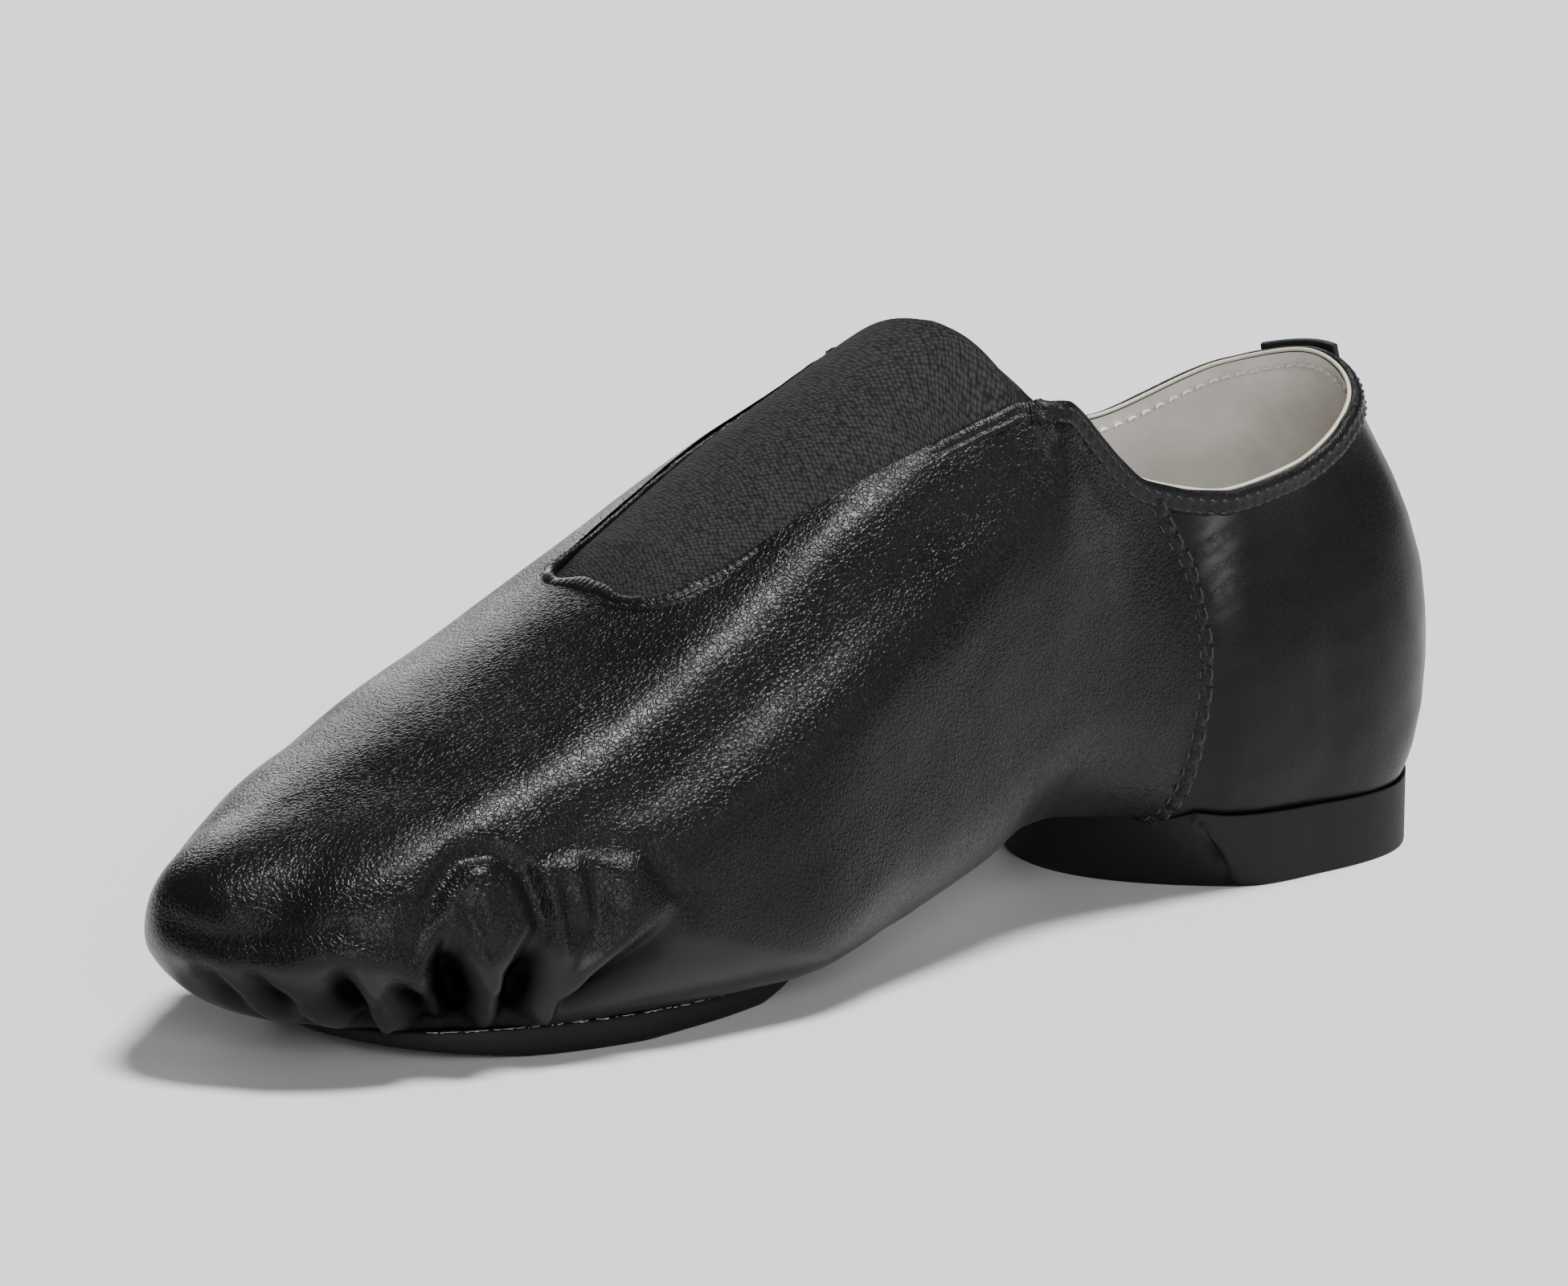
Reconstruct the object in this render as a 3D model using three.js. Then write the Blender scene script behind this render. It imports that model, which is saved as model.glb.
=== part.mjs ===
// Slip-on jazz shoe for the right foot. Millimetres, +Z up, +X to the toe, +Y to the inner side of
// the foot. The origin lies on the floor under the middle of the heel.
import * as THREE from "three";

// Overall sizes of the shoe
const LENGTH = 242.4;
const TOE_REACH = 28.4;
const HEEL_REACH = 42;
const BALL_WIDTH = 85.3;
const INSTEP_RISE = 82;
const ARCH_RISE = 6;

// Leather of the upper
const WALL = 2;
const MARGIN_WALL = 1.2;
const EDGE_WALL = 1.1;
const LAP_STEP = 0.7;
const BAND_STEP = 0.5;
const BAND_WIDTH = 3.2;
const BEVEL = 0.6;

// Elastic panel over the instep
const GORE_THICKNESS = 1.2;
const GORE_WIDTH = 47.6;
const GORE_LENGTH = 67;
const GORE_LAP = 5.5;
const GORE_CROWN = 1.4;
const LAP_ROOM = 0.8;

// Split sole, insole and tab
const SOLE_THICKNESS = 3.3;
const SOLE_FEATHER = 1.4;
const SOLE_BEVEL = 0.6;
const HEEL_HEIGHT = 8;
const HEEL_LENGTH = 73.5;
const HEEL_WIDTH = 53;
const BREAST_SET = 3.5;
const BREAST_BOW = 14.5;
const BREAST_UNDERCUT = 9.7;
const INSOLE_THICKNESS = 2;
const TAB_WIDTH = 15;
const TAB_SET = 4;
const TAB_THICKNESS = 1.1;
const TAB_DROP = 22;
const TAB_PROUD = 0.8;
const GAP = 0.3;

const SPINE = LENGTH - TOE_REACH - HEEL_REACH;
const HALF_BALL = BALL_WIDTH / 2;

// Sections of the last from the toe tip round to the back of the heel, which a rib crosses from the
// middle of the underside to the ridge or the collar.
// turn: direction of the rib from the toe, degrees. along, over: foot and top of the rib, shares of
// the spine. shift, inner, outer: sideways set and half widths, shares of half the ball width.
// flat: level part of the underside, share of the half width. ride: 0 on the sole to 1 on the heel.
// lift: rise of the underside, share of the arch rise. widest, top: heights over the seat, shares of
// the instep rise. open: half width of the opening, share of the half width, none below 0.
// arrive: slope of the rib at its top, degrees. round: squareness of the lower edge. swell, settle:
// fullness of the side and of the top.
const NAMES = ["turn", "along", "shift", "inner", "outer", "flat", "ride", "lift", "widest",
  "over", "open", "top", "arrive", "round", "swell", "settle"];
const SECTIONS = [
  [0, 1, 0.08, 0.633, 0.551, 0.15, 0, 0.27, 0.224, 1, -0.6, 0.426, 22, 2, 0.6, 0.45],
  [38, 0.987, 0.075, 0.68, 0.528, 0.28, 0, 0.23, 0.195, 0.987, -0.6, 0.437, 18, 2, 0.59, 0.45],
  [72, 0.945, 0.056, 0.755, 0.715, 0.5, 0, 0.12, 0.183, 0.945, -0.6, 0.471, 7, 2.1, 0.61, 0.46],
  [90, 0.875, 0.026, 0.875, 0.872, 0.64, 0, 0.02, 0.173, 0.875, -0.6, 0.527, 0, 2.2, 0.61, 0.46],
  [90, 0.785, 0.005, 0.964, 0.961, 0.67, 0, 0, 0.174, 0.785, -0.6, 0.6, 0, 2.2, 0.62, 0.42],
  [90, 0.64, 0.005, 0.992, 1.008, 0.66, 0, 0, 0.177, 0.622, -0.6, 0.75, 0, 2.2, 0.61, 0.4],
  [90, 0.494, 0, 0.875, 0.931, 0.59, 0.2, 0.29, 0.231, 0.455, -0.6, 0.913, 0, 2.1, 0.61, 0.38],
  [90, 0.36, 0, 0.75, 0.795, 0.51, 0.5, 0.77, 0.274, 0.305, 0, 1.031, 0, 1.9, 0.645, 0.36],
  [90, 0.326, 0, 0.725, 0.755, 0.47, 0.6, 0.98, 0.3, 0.306, 0.42, 0.986, 20, 1.8, 0.7, 0.36],
  [90, 0.291, 0, 0.703, 0.722, 0.45, 0.7, 1.09, 0.316, 0.301, 0.79, 0.923, 38, 1.7, 0.62, 0.27],
  [90, 0.244, 0, 0.68, 0.701, 0.44, 0.8, 1.07, 0.324, 0.273, 0.88, 0.905, 80, 1.65, 0.5, 0.36],
  [90, 0.16, 0, 0.675, 0.701, 0.56, 0.95, 0.69, 0.308, 0.177, 0.87, 0.715, 92, 1.8, 0.4, 0.36],
  [90, 0.087, 0, 0.701, 0.717, 0.7, 1, 0.3, 0.289, 0.087, 0.87, 0.668, 94, 2.1, 0.42, 0.36],
  [105, 0.045, 0, 0.717, 0.722, 0.77, 1, 0.12, 0.282, 0.045, 0.82, 0.687, 88, 2.2, 0.46, 0.34],
  [138, 0.01, 0, 0.816, 0.755, 0.8, 1, 0, 0.289, 0.01, 0.71, 0.783, 74, 2.3, 0.54, 0.33],
  [180, 0, 0, 0.79, 0.755, 0.8, 1, 0, 0.301, 0, 0.645, 0.823, 76, 2.2, 0.54, 0.33],
];

// Half widths of the gore's opening, shares of the gore width, along it from its front to its back.
const GORE_INNER = [[0, 0.18], [0.07, 0.265], [0.31, 0.345], [0.5, 0.38], [0.7, 0.41],
  [0.9, 0.425], [1, 0.49]];
const GORE_OUTER = [[0, 0.24], [0.07, 0.31], [0.31, 0.385], [0.5, 0.41], [0.7, 0.43],
  [0.9, 0.445], [1, 0.5]];

// Side seam between vamp and quarter: row of the sections, against the place up the rib.
const SEAM = [[0, 11.3], [1, 11.32], [1.5, 11.4], [1.87, 11.43], [2.24, 11.55], [2.65, 11.48],
  [3, 11.12]];
const SEAM_ROW = 11.4;
const SEAM_SPREAD = 1.3;

// Rows and places up the rib between which neighbouring ribs are blended
const BLEND_ROWS = 0.7;
const BLEND_STEPS = 4;
const BLEND_FRONT = 5.4;
const BLEND_FRONT_RUN = 1.4;
const BLEND_BACK = 11.4;
const BLEND_BACK_RUN = 1.4;
const BLEND_LOW = 1.6;
const BLEND_LOW_RUN = 0.5;
const BLEND_TOP_RUN = 0.35;

// Rows where the lines of the mesh run across the shoe
const GORE_BACK = 9;
const BACK = SECTIONS.length - 1;

function clamp(value, low, high) {
  return Math.min(Math.max(value, low), high);
}

function mix(a, b, share) {
  return a + (b - a) * share;
}

// Value of a short table of [place, value] pairs, with straight lines between them.
function lookUp(table, place) {
  const last = table.length - 1;
  if (place <= table[0][0]) return table[0][1];
  for (let k = 0; k < last; k += 1) {
    const [a, va] = table[k];
    const [b, vb] = table[k + 1];
    if (place <= b) return mix(va, vb, (place - a) / (b - a));
  }
  return table[last][1];
}

// Slopes that keep a column of the section table from overshooting between its rows. Only the turn
// has a slope at the ends, where the two sides run into each other.
const SLOPES = SECTIONS.map((row, k) => row.map((value, c) => {
  const turning = NAMES[c] === "turn";
  if (k === 0) return turning ? SECTIONS[1][c] - value : 0;
  const before = value - SECTIONS[k - 1][c];
  if (k === BACK) return turning ? before : 0;
  const after = SECTIONS[k + 1][c] - value;
  return before * after > 0 ? (2 * before * after) / (before + after) : 0;
}));

// Section at any place along the table, by name.
function sectionAt(row) {
  const k = clamp(Math.floor(row), 0, BACK - 1);
  const f = row - k;
  const section = {};
  NAMES.forEach((name, c) => {
    section[name] = SECTIONS[k][c] * (1 + 2 * f) * (1 - f) ** 2
      + SLOPES[k][c] * f * (1 - f) ** 2
      + SECTIONS[k + 1][c] * f * f * (3 - 2 * f)
      + SLOPES[k + 1][c] * f * f * (f - 1);
  });
  return section;
}

// Height of the seat and of the leather's underside at a section.
function seatOf(section) {
  return GAP + mix(SOLE_THICKNESS, HEEL_HEIGHT, section.ride);
}

function underOf(section) {
  return seatOf(section) + section.lift * ARCH_RISE;
}

// Point of one rib: row along the shoe, side 1 inner or -1 outer, and place up the rib, which is
// 0 to 1 on the underside, 1 to 2 on the lower edge and 2 to 3 from the widest line to the top.
function ribPoint(row, side, place) {
  const s = sectionAt(row);
  const width = (side > 0 ? s.inner : s.outer) * HALF_BALL;
  const turn = THREE.MathUtils.degToRad(s.turn);
  const reach = s.turn <= 90 ? TOE_REACH : HEEL_REACH;
  const span = Math.hypot(reach * Math.cos(turn), width * Math.sin(turn));
  const under = underOf(s);
  const widest = seatOf(s) + s.widest * INSTEP_RISE;
  const top = seatOf(s) + s.top * INSTEP_RISE;
  const open = Math.max(s.open, 0);
  let rho = 0;
  let z = under;
  if (place <= 1) {
    rho = s.flat * place;
  } else if (place <= 2) {
    const angle = ((place - 1) * Math.PI) / 2;
    const power = 2 / s.round;
    rho = s.flat + (1 - s.flat) * Math.sin(angle) ** power;
    z = widest - (widest - under) * Math.max(Math.cos(angle), 0) ** power;
  } else {
    const f = place - 2;
    const rise = top - widest;
    const pull = s.settle * Math.hypot((1 - open) * span, rise);
    const arrive = THREE.MathUtils.degToRad(s.arrive);
    const [b0, b1] = [(1 - f) ** 3, 3 * f * (1 - f) ** 2];
    const [b2, b3] = [3 * f * f * (1 - f), f ** 3];
    rho = b0 + b1 + (open + (Math.cos(arrive) * pull) / span) * b2 + open * b3;
    z = widest * b0 + (widest + s.swell * rise) * b1 + (top - Math.sin(arrive) * pull) * b2 + top * b3;
  }
  const lean = (s.over - s.along) * SPINE * clamp(place - 2, 0, 1);
  return new THREE.Vector3(
    s.along * SPINE + rho * reach * Math.cos(turn) + lean,
    s.shift * HALF_BALL + side * rho * width * Math.sin(turn),
    z,
  );
}

// Point of the shoe's outside. Round the gore's rear corners, where the ribs crowd together, it is the
// bell-weighted mean of the ribs near by, which keeps the side even from the vamp to the collar.
function outside(row, side, place) {
  const ahead = clamp((row - BLEND_FRONT) / BLEND_FRONT_RUN, 0, 1);
  const behind = clamp((BLEND_BACK - row) / BLEND_BACK_RUN, 0, 1);
  const top = THREE.MathUtils.smoothstep(3 - place, 0, BLEND_TOP_RUN);
  const low = clamp((place - BLEND_LOW) / BLEND_LOW_RUN, 0, 1);
  const spread = BLEND_ROWS * ahead * behind * top * low;
  if (spread === 0) return ribPoint(row, side, place);
  const mean = new THREE.Vector3();
  let total = 0;
  for (let k = -BLEND_STEPS; k <= BLEND_STEPS; k += 1) {
    const away = (2 * k) / BLEND_STEPS;
    const weight = Math.exp(-(away ** 2) / 2);
    mean.addScaledVector(ribPoint(row + away * spread, side, place), weight);
    total += weight;
  }
  return mean.divideScalar(total);
}

// Place where a rising or falling test passes nought between two places.
function solve(test, low, high) {
  let [a, b] = [low, high];
  const rising = test(b) > test(a);
  for (let k = 0; k < 40; k += 1) {
    const m = (a + b) / 2;
    if ((test(m) > 0) === rising) b = m;
    else a = m;
  }
  return (a + b) / 2;
}

// Place on a rib that lies a distance below another, measured along the rib.
function below(row, side, place, distance) {
  const step = 0.01;
  let [here, left, at] = [outside(row, side, place), distance, place];
  while (left > 0 && at > step) {
    const next = outside(row, side, at - step);
    const run = next.distanceTo(here);
    if (run >= left) return at - step * (left / run);
    left -= run;
    at -= step;
    here = next;
  }
  return at;
}

// Row whose rib ends at a distance from the heel's spine, along the ridge.
const gorePeak = outside(GORE_BACK, 1, 3).x;
const GORE_FRONT = solve((row) => outside(row, 1, 3).x - (gorePeak + GORE_LENGTH), 3, 7);

// Place up the rib of the gore's edge, of the collar behind it, or of the line that leads on ahead.
function edgePlace(row, side) {
  if (row >= GORE_BACK) return 3;
  const from = Math.max(row, GORE_FRONT);
  const shift = outside(from, 1, 0).y;
  return solve((place) => {
    const p = outside(from, side, place);
    const share = (gorePeak + GORE_LENGTH - p.x) / GORE_LENGTH;
    return Math.abs(p.y - shift) - GORE_WIDTH * lookUp(side > 0 ? GORE_INNER : GORE_OUTER, share);
  }, 2.1, 3);
}

// Row of a mesh line at a place up the rib, with the lines near the side seam bent along it.
function bentRow(row, place) {
  const near = clamp(1 - Math.abs(row - SEAM_ROW) / SEAM_SPREAD, 0, 1);
  return row + (lookUp(SEAM, place) - SEAM_ROW) * near;
}

// Structured sheet over the outside, both sides sewn at the middle: a list of points with their line
// and column, a list of four-cornered cells and each side's grid of point numbers.
function weave(lines, columnsAt) {
  const points = [];
  const cells = [];
  const grids = {};
  const seen = new Map();
  for (const side of [1, -1]) {
    const ids = lines.map((line, i) => columnsAt(line, side).map(([row, place], j) => {
      const at = outside(row, side, place);
      const key = at.toArray().map((v) => Math.round(v * 1e3)).join();
      if (!seen.has(key)) {
        seen.set(key, points.length);
        points.push({ at, i, j, row, place, side });
      }
      return seen.get(key);
    }));
    grids[side] = ids;
    for (let i = 0; i + 1 < lines.length; i += 1) {
      for (let j = 0; j + 1 < ids[i].length; j += 1) {
        const loop = [ids[i][j], ids[i + 1][j], ids[i + 1][j + 1], ids[i][j + 1]];
        const corners = loop.filter((id, k) => id !== loop[(k + 1) % 4]);
        if (corners.length > 2) cells.push({ corners: side > 0 ? corners : corners.reverse(), i, j });
      }
    }
  }
  return { points, cells, grids };
}

// Triangles of a cell, cut along its shorter diagonal.
function triangles(points, corners) {
  if (corners.length === 3) return [corners];
  const [a, b, c, d] = corners;
  const straight = points[a].at.distanceTo(points[c].at) <= points[b].at.distanceTo(points[d].at);
  return straight ? [[a, b, c], [a, c, d]] : [[a, b, d], [b, c, d]];
}

// Normals of a sheet's points, each the sum of those of the triangles round it.
function normalsOf({ points, cells }) {
  const normals = points.map(() => new THREE.Vector3());
  cells.forEach(({ corners }) => triangles(points, corners).forEach(([a, b, c]) => {
    const ab = points[b].at.clone().sub(points[a].at);
    const ac = points[c].at.clone().sub(points[a].at);
    const across = ab.cross(ac);
    [a, b, c].forEach((id) => normals[id].add(across));
  }));
  return normals.map((normal) => normal.normalize());
}

// Field of normals over the whole outside, which every piece takes its own from.
const FIELD_STEP = 0.1;
const fieldRows = Array.from({ length: BACK / FIELD_STEP + 1 }, (_, k) => k * FIELD_STEP);
const fieldPlaces = Array.from({ length: 3 / FIELD_STEP + 1 }, (_, k) => k * FIELD_STEP);
const field = weave(fieldRows, (row) => fieldPlaces.map((place) => [row, place]));
const fieldNormals = normalsOf(field);

function normalAt({ row, side, place }) {
  const u = clamp(row / FIELD_STEP, 0, fieldRows.length - 1.001);
  const v = clamp(place / FIELD_STEP, 0, fieldPlaces.length - 1.001);
  const [i, j] = [Math.floor(u), Math.floor(v)];
  const normal = new THREE.Vector3();
  for (const [di, dj] of [[0, 0], [1, 0], [0, 1], [1, 1]]) {
    const weight = Math.abs(1 - di - (u - i)) * Math.abs(1 - dj - (v - j));
    normal.addScaledVector(fieldNormals[field.grids[side][i + di][j + dj]], weight);
  }
  return normal.normalize();
}

// Closed body between two skins over the kept cells of a sheet, walled along every free edge.
function body(name, sheet, keep, outerSkin, innerSkin, look) {
  const { points, cells } = sheet;
  const kept = cells.filter(keep).flatMap(({ corners }) => triangles(points, corners));
  const positions = [];
  const index = [];
  const skins = [outerSkin, innerSkin].map((skin) => {
    const ids = new Map();
    return (id) => {
      if (!ids.has(id)) {
        ids.set(id, positions.length / 3);
        positions.push(...skin(points[id]).toArray());
      }
      return ids.get(id);
    };
  });
  const [out, inn] = skins;
  const edges = new Map();
  kept.forEach(([a, b, c]) => {
    index.push(out(a), out(b), out(c), inn(c), inn(b), inn(a));
    [[a, b], [b, c], [c, a]].forEach(([p, q]) => {
      if (edges.has(`${q},${p}`)) edges.delete(`${q},${p}`);
      else edges.set(`${p},${q}`, [p, q]);
    });
  });
  edges.forEach(([p, q]) => index.push(out(q), out(p), inn(p), out(q), inn(p), inn(q)));
  const geometry = new THREE.BufferGeometry();
  geometry.setAttribute("position", new THREE.Float32BufferAttribute(positions, 3));
  geometry.setIndex(index);
  geometry.computeVertexNormals();
  const mesh = new THREE.Mesh(geometry, new THREE.MeshStandardMaterial(look));
  mesh.name = name;
  return mesh;
}

// Point of a skin at a height over the outside, along the normal.
function over(point, height) {
  return point.at.clone().addScaledVector(normalAt(point), height);
}

// Upper: one hollow shell, open at the collar, the gore and under both pieces of the sole.
const OPENING = 0.6;
const SOLE_BACK = 5.87;
const FRONT_OPENING_BACK = 5.5;
const HEEL_OPENING_FRONT = 12.5;
const LAP_FRONT = solve((row) => outside(row, 1, 3).x
  - (gorePeak + GORE_LENGTH + GORE_LAP + LAP_ROOM), 3, 7);
const STEP_RUN = 0.05;
const LAP_STEP_FRONT = LAP_FRONT - STEP_RUN;
const BAND_START = GORE_BACK + 0.12;
const BEHIND_SEAM = SEAM_ROW + STEP_RUN;
const upperLines = [0, 0.35, 0.7, 1, 1.3, 1.6, 1.9, 2.2, 2.5, 2.75, 3, 3.3, 3.6, 3.95,
  LAP_STEP_FRONT, LAP_FRONT, GORE_FRONT, 4.95, 5.2, FRONT_OPENING_BACK, SOLE_BACK, 6.25, 6.6, 7,
  7.4, 7.8, 8.4, GORE_BACK, BAND_START, 9.4, 9.7, 10, 10.35, 10.7, 11.05, SEAM_ROW, BEHIND_SEAM, 11.75,
  12.1, HEEL_OPENING_FRONT, 12.8, 13.1, 13.4, 13.7, 14, 14.25, 14.5, 14.75, BACK];
const UNDER_PLACES = [0, 0.3, OPENING, 1, 1.25, 1.5, 1.75, 2];
const SIDE_CELLS = 6;
const TOP_CELLS = 3;
const BAND_LOW = UNDER_PLACES.length + SIDE_CELLS - 1;
const BAND_HIGH = BAND_LOW + 1;
const EDGE = BAND_LOW + 2;

function upperColumns(line, side) {
  const edge = edgePlace(line, side);
  const behind = clamp(line - GORE_BACK, 0, 1);
  const width = mix(GORE_LAP + LAP_ROOM, BAND_WIDTH, behind);
  const high = below(line, side, edge, width);
  const low = below(line, side, edge, width + BEVEL);
  const places = [...UNDER_PLACES];
  for (let k = 1; k <= SIDE_CELLS; k += 1) places.push(mix(2, low, k / SIDE_CELLS));
  places.push(high, edge);
  for (let k = 1; k <= TOP_CELLS; k += 1) places.push(mix(edge, 3, k / TOP_CELLS));
  return places.map((place) => [bentRow(line, place), place]);
}

// Share of the way from the level underside to halfway up the lower edge.
function upEdge(place) {
  return clamp((place - 1) * 2, 0, 1);
}

function upperOuter(point) {
  const line = upperLines[point.i];
  const band = point.j >= BAND_HIGH ? 1 : 0;
  const collar = band * clamp(line - GORE_BACK, 0, 1);
  const quarter = line > SEAM_ROW ? upEdge(point.place) : 0;
  return over(point, collar * BAND_STEP - quarter * LAP_STEP);
}

function upperInner(point) {
  const line = upperLines[point.i];
  const lap = point.j >= BAND_HIGH && line >= LAP_FRONT && line <= BAND_START;
  const side = mix(MARGIN_WALL, WALL, upEdge(point.place));
  return over(point, -(lap ? EDGE_WALL : side));
}

function upperKeep({ i, j }) {
  const [front, back] = [upperLines[i], upperLines[i + 1]];
  const opening = back <= FRONT_OPENING_BACK || front >= HEEL_OPENING_FRONT;
  if (opening && UNDER_PLACES[j + 1] <= OPENING) return false;
  return j < EDGE || back <= GORE_FRONT;
}

const upper = body("upper", weave(upperLines, upperColumns), upperKeep, upperOuter, upperInner,
  { color: 0x17181a, roughness: 0.42, metalness: 0 });

// Gore: elastic panel in the opening over the instep, lapped under the edge of the vamp.
const goreFront = solve((row) => outside(row, 1, 3).x - (gorePeak + GORE_LENGTH + GORE_LAP), 3, 7);
const goreLines = [goreFront, ...upperLines.filter((row) => row >= GORE_FRONT && row <= GORE_BACK)];
const GORE_CELLS = 5;
const CROWN_FRONT_RUN = 0.33;
const CROWN_BACK_RUN = 2;

function goreColumns(line, side) {
  const edge = edgePlace(line, side);
  const places = [below(line, side, edge, GORE_LAP), edge];
  for (let k = 1; k <= GORE_CELLS; k += 1) places.push(mix(edge, 3, k / GORE_CELLS));
  return places.map((place) => [line, place]);
}

// Height of the gore's face over the outside: sunk under its edge and full along its middle.
function goreFace(point) {
  const share = clamp((point.j - 1) / GORE_CELLS, 0, 1);
  const front = (point.row - GORE_FRONT) / CROWN_FRONT_RUN;
  const back = (GORE_BACK - point.row) / CROWN_BACK_RUN;
  const full = Math.sin((share * Math.PI) / 2) * clamp(Math.min(front, back), 0, 1);
  return GORE_CROWN * full - EDGE_WALL - GAP;
}

const gore = body("gore", weave(goreLines, goreColumns), () => true,
  (point) => over(point, goreFace(point)),
  (point) => over(point, goreFace(point) - GORE_THICKNESS),
  { color: 0x202123, roughness: 0.85, metalness: 0 });

// Insole: thin board on the turned-in margin of the upper.
const insoleLines = upperLines.filter((row) => row !== LAP_STEP_FRONT && row !== LAP_FRONT
  && row !== GORE_FRONT && row !== BEHIND_SEAM && row !== BAND_START);
const INSOLE_PLACES = [0, 0.3, OPENING, 0.94];
const insole = body("insole", weave(insoleLines, (line) => INSOLE_PLACES.map((p) => [line, p])),
  () => true, (point) => over(point, -MARGIN_WALL - GAP),
  (point) => over(point, -MARGIN_WALL - GAP - INSOLE_THICKNESS),
  { color: 0x9c968c, roughness: 0.8, metalness: 0 });

// Forefoot sole: patch under ball and toes, level where it stands and feathered out at the waist.
const SOLE_EDGE = [[0, 1.1], [1, 1.14], [2, 1.18], [2.5, 1.23], [3, 1.26], [4, 1.24], [4.6, 1.12],
  [5, 1.02], [5.4, 0.9], [5.7, 0.74], [SOLE_BACK, 0.55]];
const EDGE_CELL = 0.15;
const TOE_TAPER_START = 0.9;
const TOE_TAPER_RUN = 0.15;
const WAIST_TAPER_START = 5;
const soleLines = upperLines.filter((row) => row <= SOLE_BACK);

function soleColumns(line) {
  const edge = lookUp(SOLE_EDGE, line);
  const level = Math.min(edge - EDGE_CELL, 1);
  return [0, 0.3 * level, 0.6 * level, level, edge].map((place) => [line, place]);
}

function soleBottom(point) {
  const s = sectionAt(point.row);
  const ahead = (point.at.x / SPINE - TOE_TAPER_START) / TOE_TAPER_RUN;
  const behind = (point.row - WAIST_TAPER_START) / (SOLE_BACK - WAIST_TAPER_START);
  const thin = clamp(Math.max(ahead, behind), 0, 1);
  const bottom = over(point, GAP);
  const bevel = point.j === 4 ? SOLE_BEVEL : 0;
  bottom.z = underOf(s) - GAP - mix(SOLE_THICKNESS, SOLE_FEATHER, thin) + bevel;
  return bottom;
}

const forefootSole = body("forefoot_sole", weave(soleLines, soleColumns), () => true,
  soleBottom, (point) => over(point, GAP), { color: 0x1b1b1c, roughness: 0.75, metalness: 0 });

// Heel: low block under the heel seat, with a slanted, bowed front face cut back toward the floor.
const HEEL_EDGE = [[11, 1.32], [12.5, 1.3], [13.5, 1.31], [14.2, 1.33], [BACK, 1.34]];
const BREAST_BACK = 13.1;
const BREAST_LINES = [0, 0.16, 0.32, 0.48, 0.64, 0.82];
const MIDDLE_UNDERCUT = 0.55;
const heelLines = [...BREAST_LINES, ...upperLines.filter((row) => row >= BREAST_BACK)];

// How far a point lies from the middle of the bowed front face, squared, as a share of its half.
function breastShare(p) {
  return ((p.y + BREAST_SET) / (HEEL_WIDTH / 2 + BREAST_SET)) ** 2;
}

// Row under which the front face of the heel starts, at a place across the underside.
function breastRow(side, place) {
  return solve((row) => {
    const p = outside(bentRow(row, place), side, place);
    return p.x - (HEEL_LENGTH - HEEL_REACH - BREAST_BOW * breastShare(p));
  }, 10, BREAST_BACK);
}

function heelColumns(line, side) {
  const rim = lookUp(HEEL_EDGE, Math.max(line, BREAST_BACK));
  return [0, 0.3, OPENING, 1, 1.25, rim].map((place) => {
    const row = line < 1 ? mix(breastRow(side, place), BREAST_BACK, line) : line;
    return [bentRow(row, place), place];
  });
}

function heelBottom(point) {
  const bottom = over(point, GAP);
  const cut = BREAST_UNDERCUT * mix(MIDDLE_UNDERCUT, 1, breastShare(point.at));
  bottom.x -= cut * (1 - (BREAST_LINES[point.i] ?? 1));
  bottom.z = 0;
  return bottom;
}

const heel = body("heel", weave(heelLines, heelColumns), () => true,
  heelBottom, (point) => over(point, GAP), { color: 0x1a1a1b, roughness: 0.7, metalness: 0 });

// Back tab: ribbon outside the back seam, standing a little above the collar.
const TAB_SHARES = [-1, -0.6, -0.2, 0.2, 0.6, 1];
const TAB_CELLS = 5;
const tabFoot = below(BACK, 1, 3, TAB_DROP);
const tabBand = below(BACK, 1, 3, BAND_WIDTH + BEVEL + GAP);

function tabSheet() {
  const points = [];
  const cells = [];
  const places = Array.from({ length: TAB_CELLS }, (_, j) => mix(tabFoot, tabBand, j / TAB_CELLS));
  places.push(tabBand, below(BACK, 1, 3, BAND_WIDTH + GAP), 3, 3);
  TAB_SHARES.forEach((share, i) => {
    const y = share * TAB_WIDTH / 2 - TAB_SET;
    const [side, across] = [y < 0 ? -1 : 1, Math.abs(y)];
    places.forEach((place, j) => {
      const aside = (row) => Math.abs(outside(row, side, place).y) - across;
      const row = across === 0 ? BACK : solve(aside, 14, BACK);
      const proud = j === places.length - 1 ? TAB_PROUD : 0;
      const at = outside(row, side, place);
      const along = at.clone().sub(outside(row, side, place - 0.05)).normalize();
      points.push({ at: at.addScaledVector(along, proud), i, j, row, place, side });
      if (i > 0 && j > 0) {
        const [p, q] = [points.length - 2 - places.length, points.length - 2];
        cells.push({ corners: [p, p + 1, q + 1, q], i, j });
      }
    });
  });
  return { points, cells };
}

function tabClear(point) {
  return GAP - LAP_STEP + (point.place > tabBand ? BAND_STEP : 0);
}

const backTab = body("back_tab", tabSheet(), () => true,
  (point) => over(point, tabClear(point) + TAB_THICKNESS), (point) => over(point, tabClear(point)),
  { color: 0x141415, roughness: 0.8, metalness: 0 });

const shoe = new THREE.Group();
shoe.name = "jazz_shoe";
shoe.add(upper, gore, insole, forefootSole, heel, backTab);

export default shoe;
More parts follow.
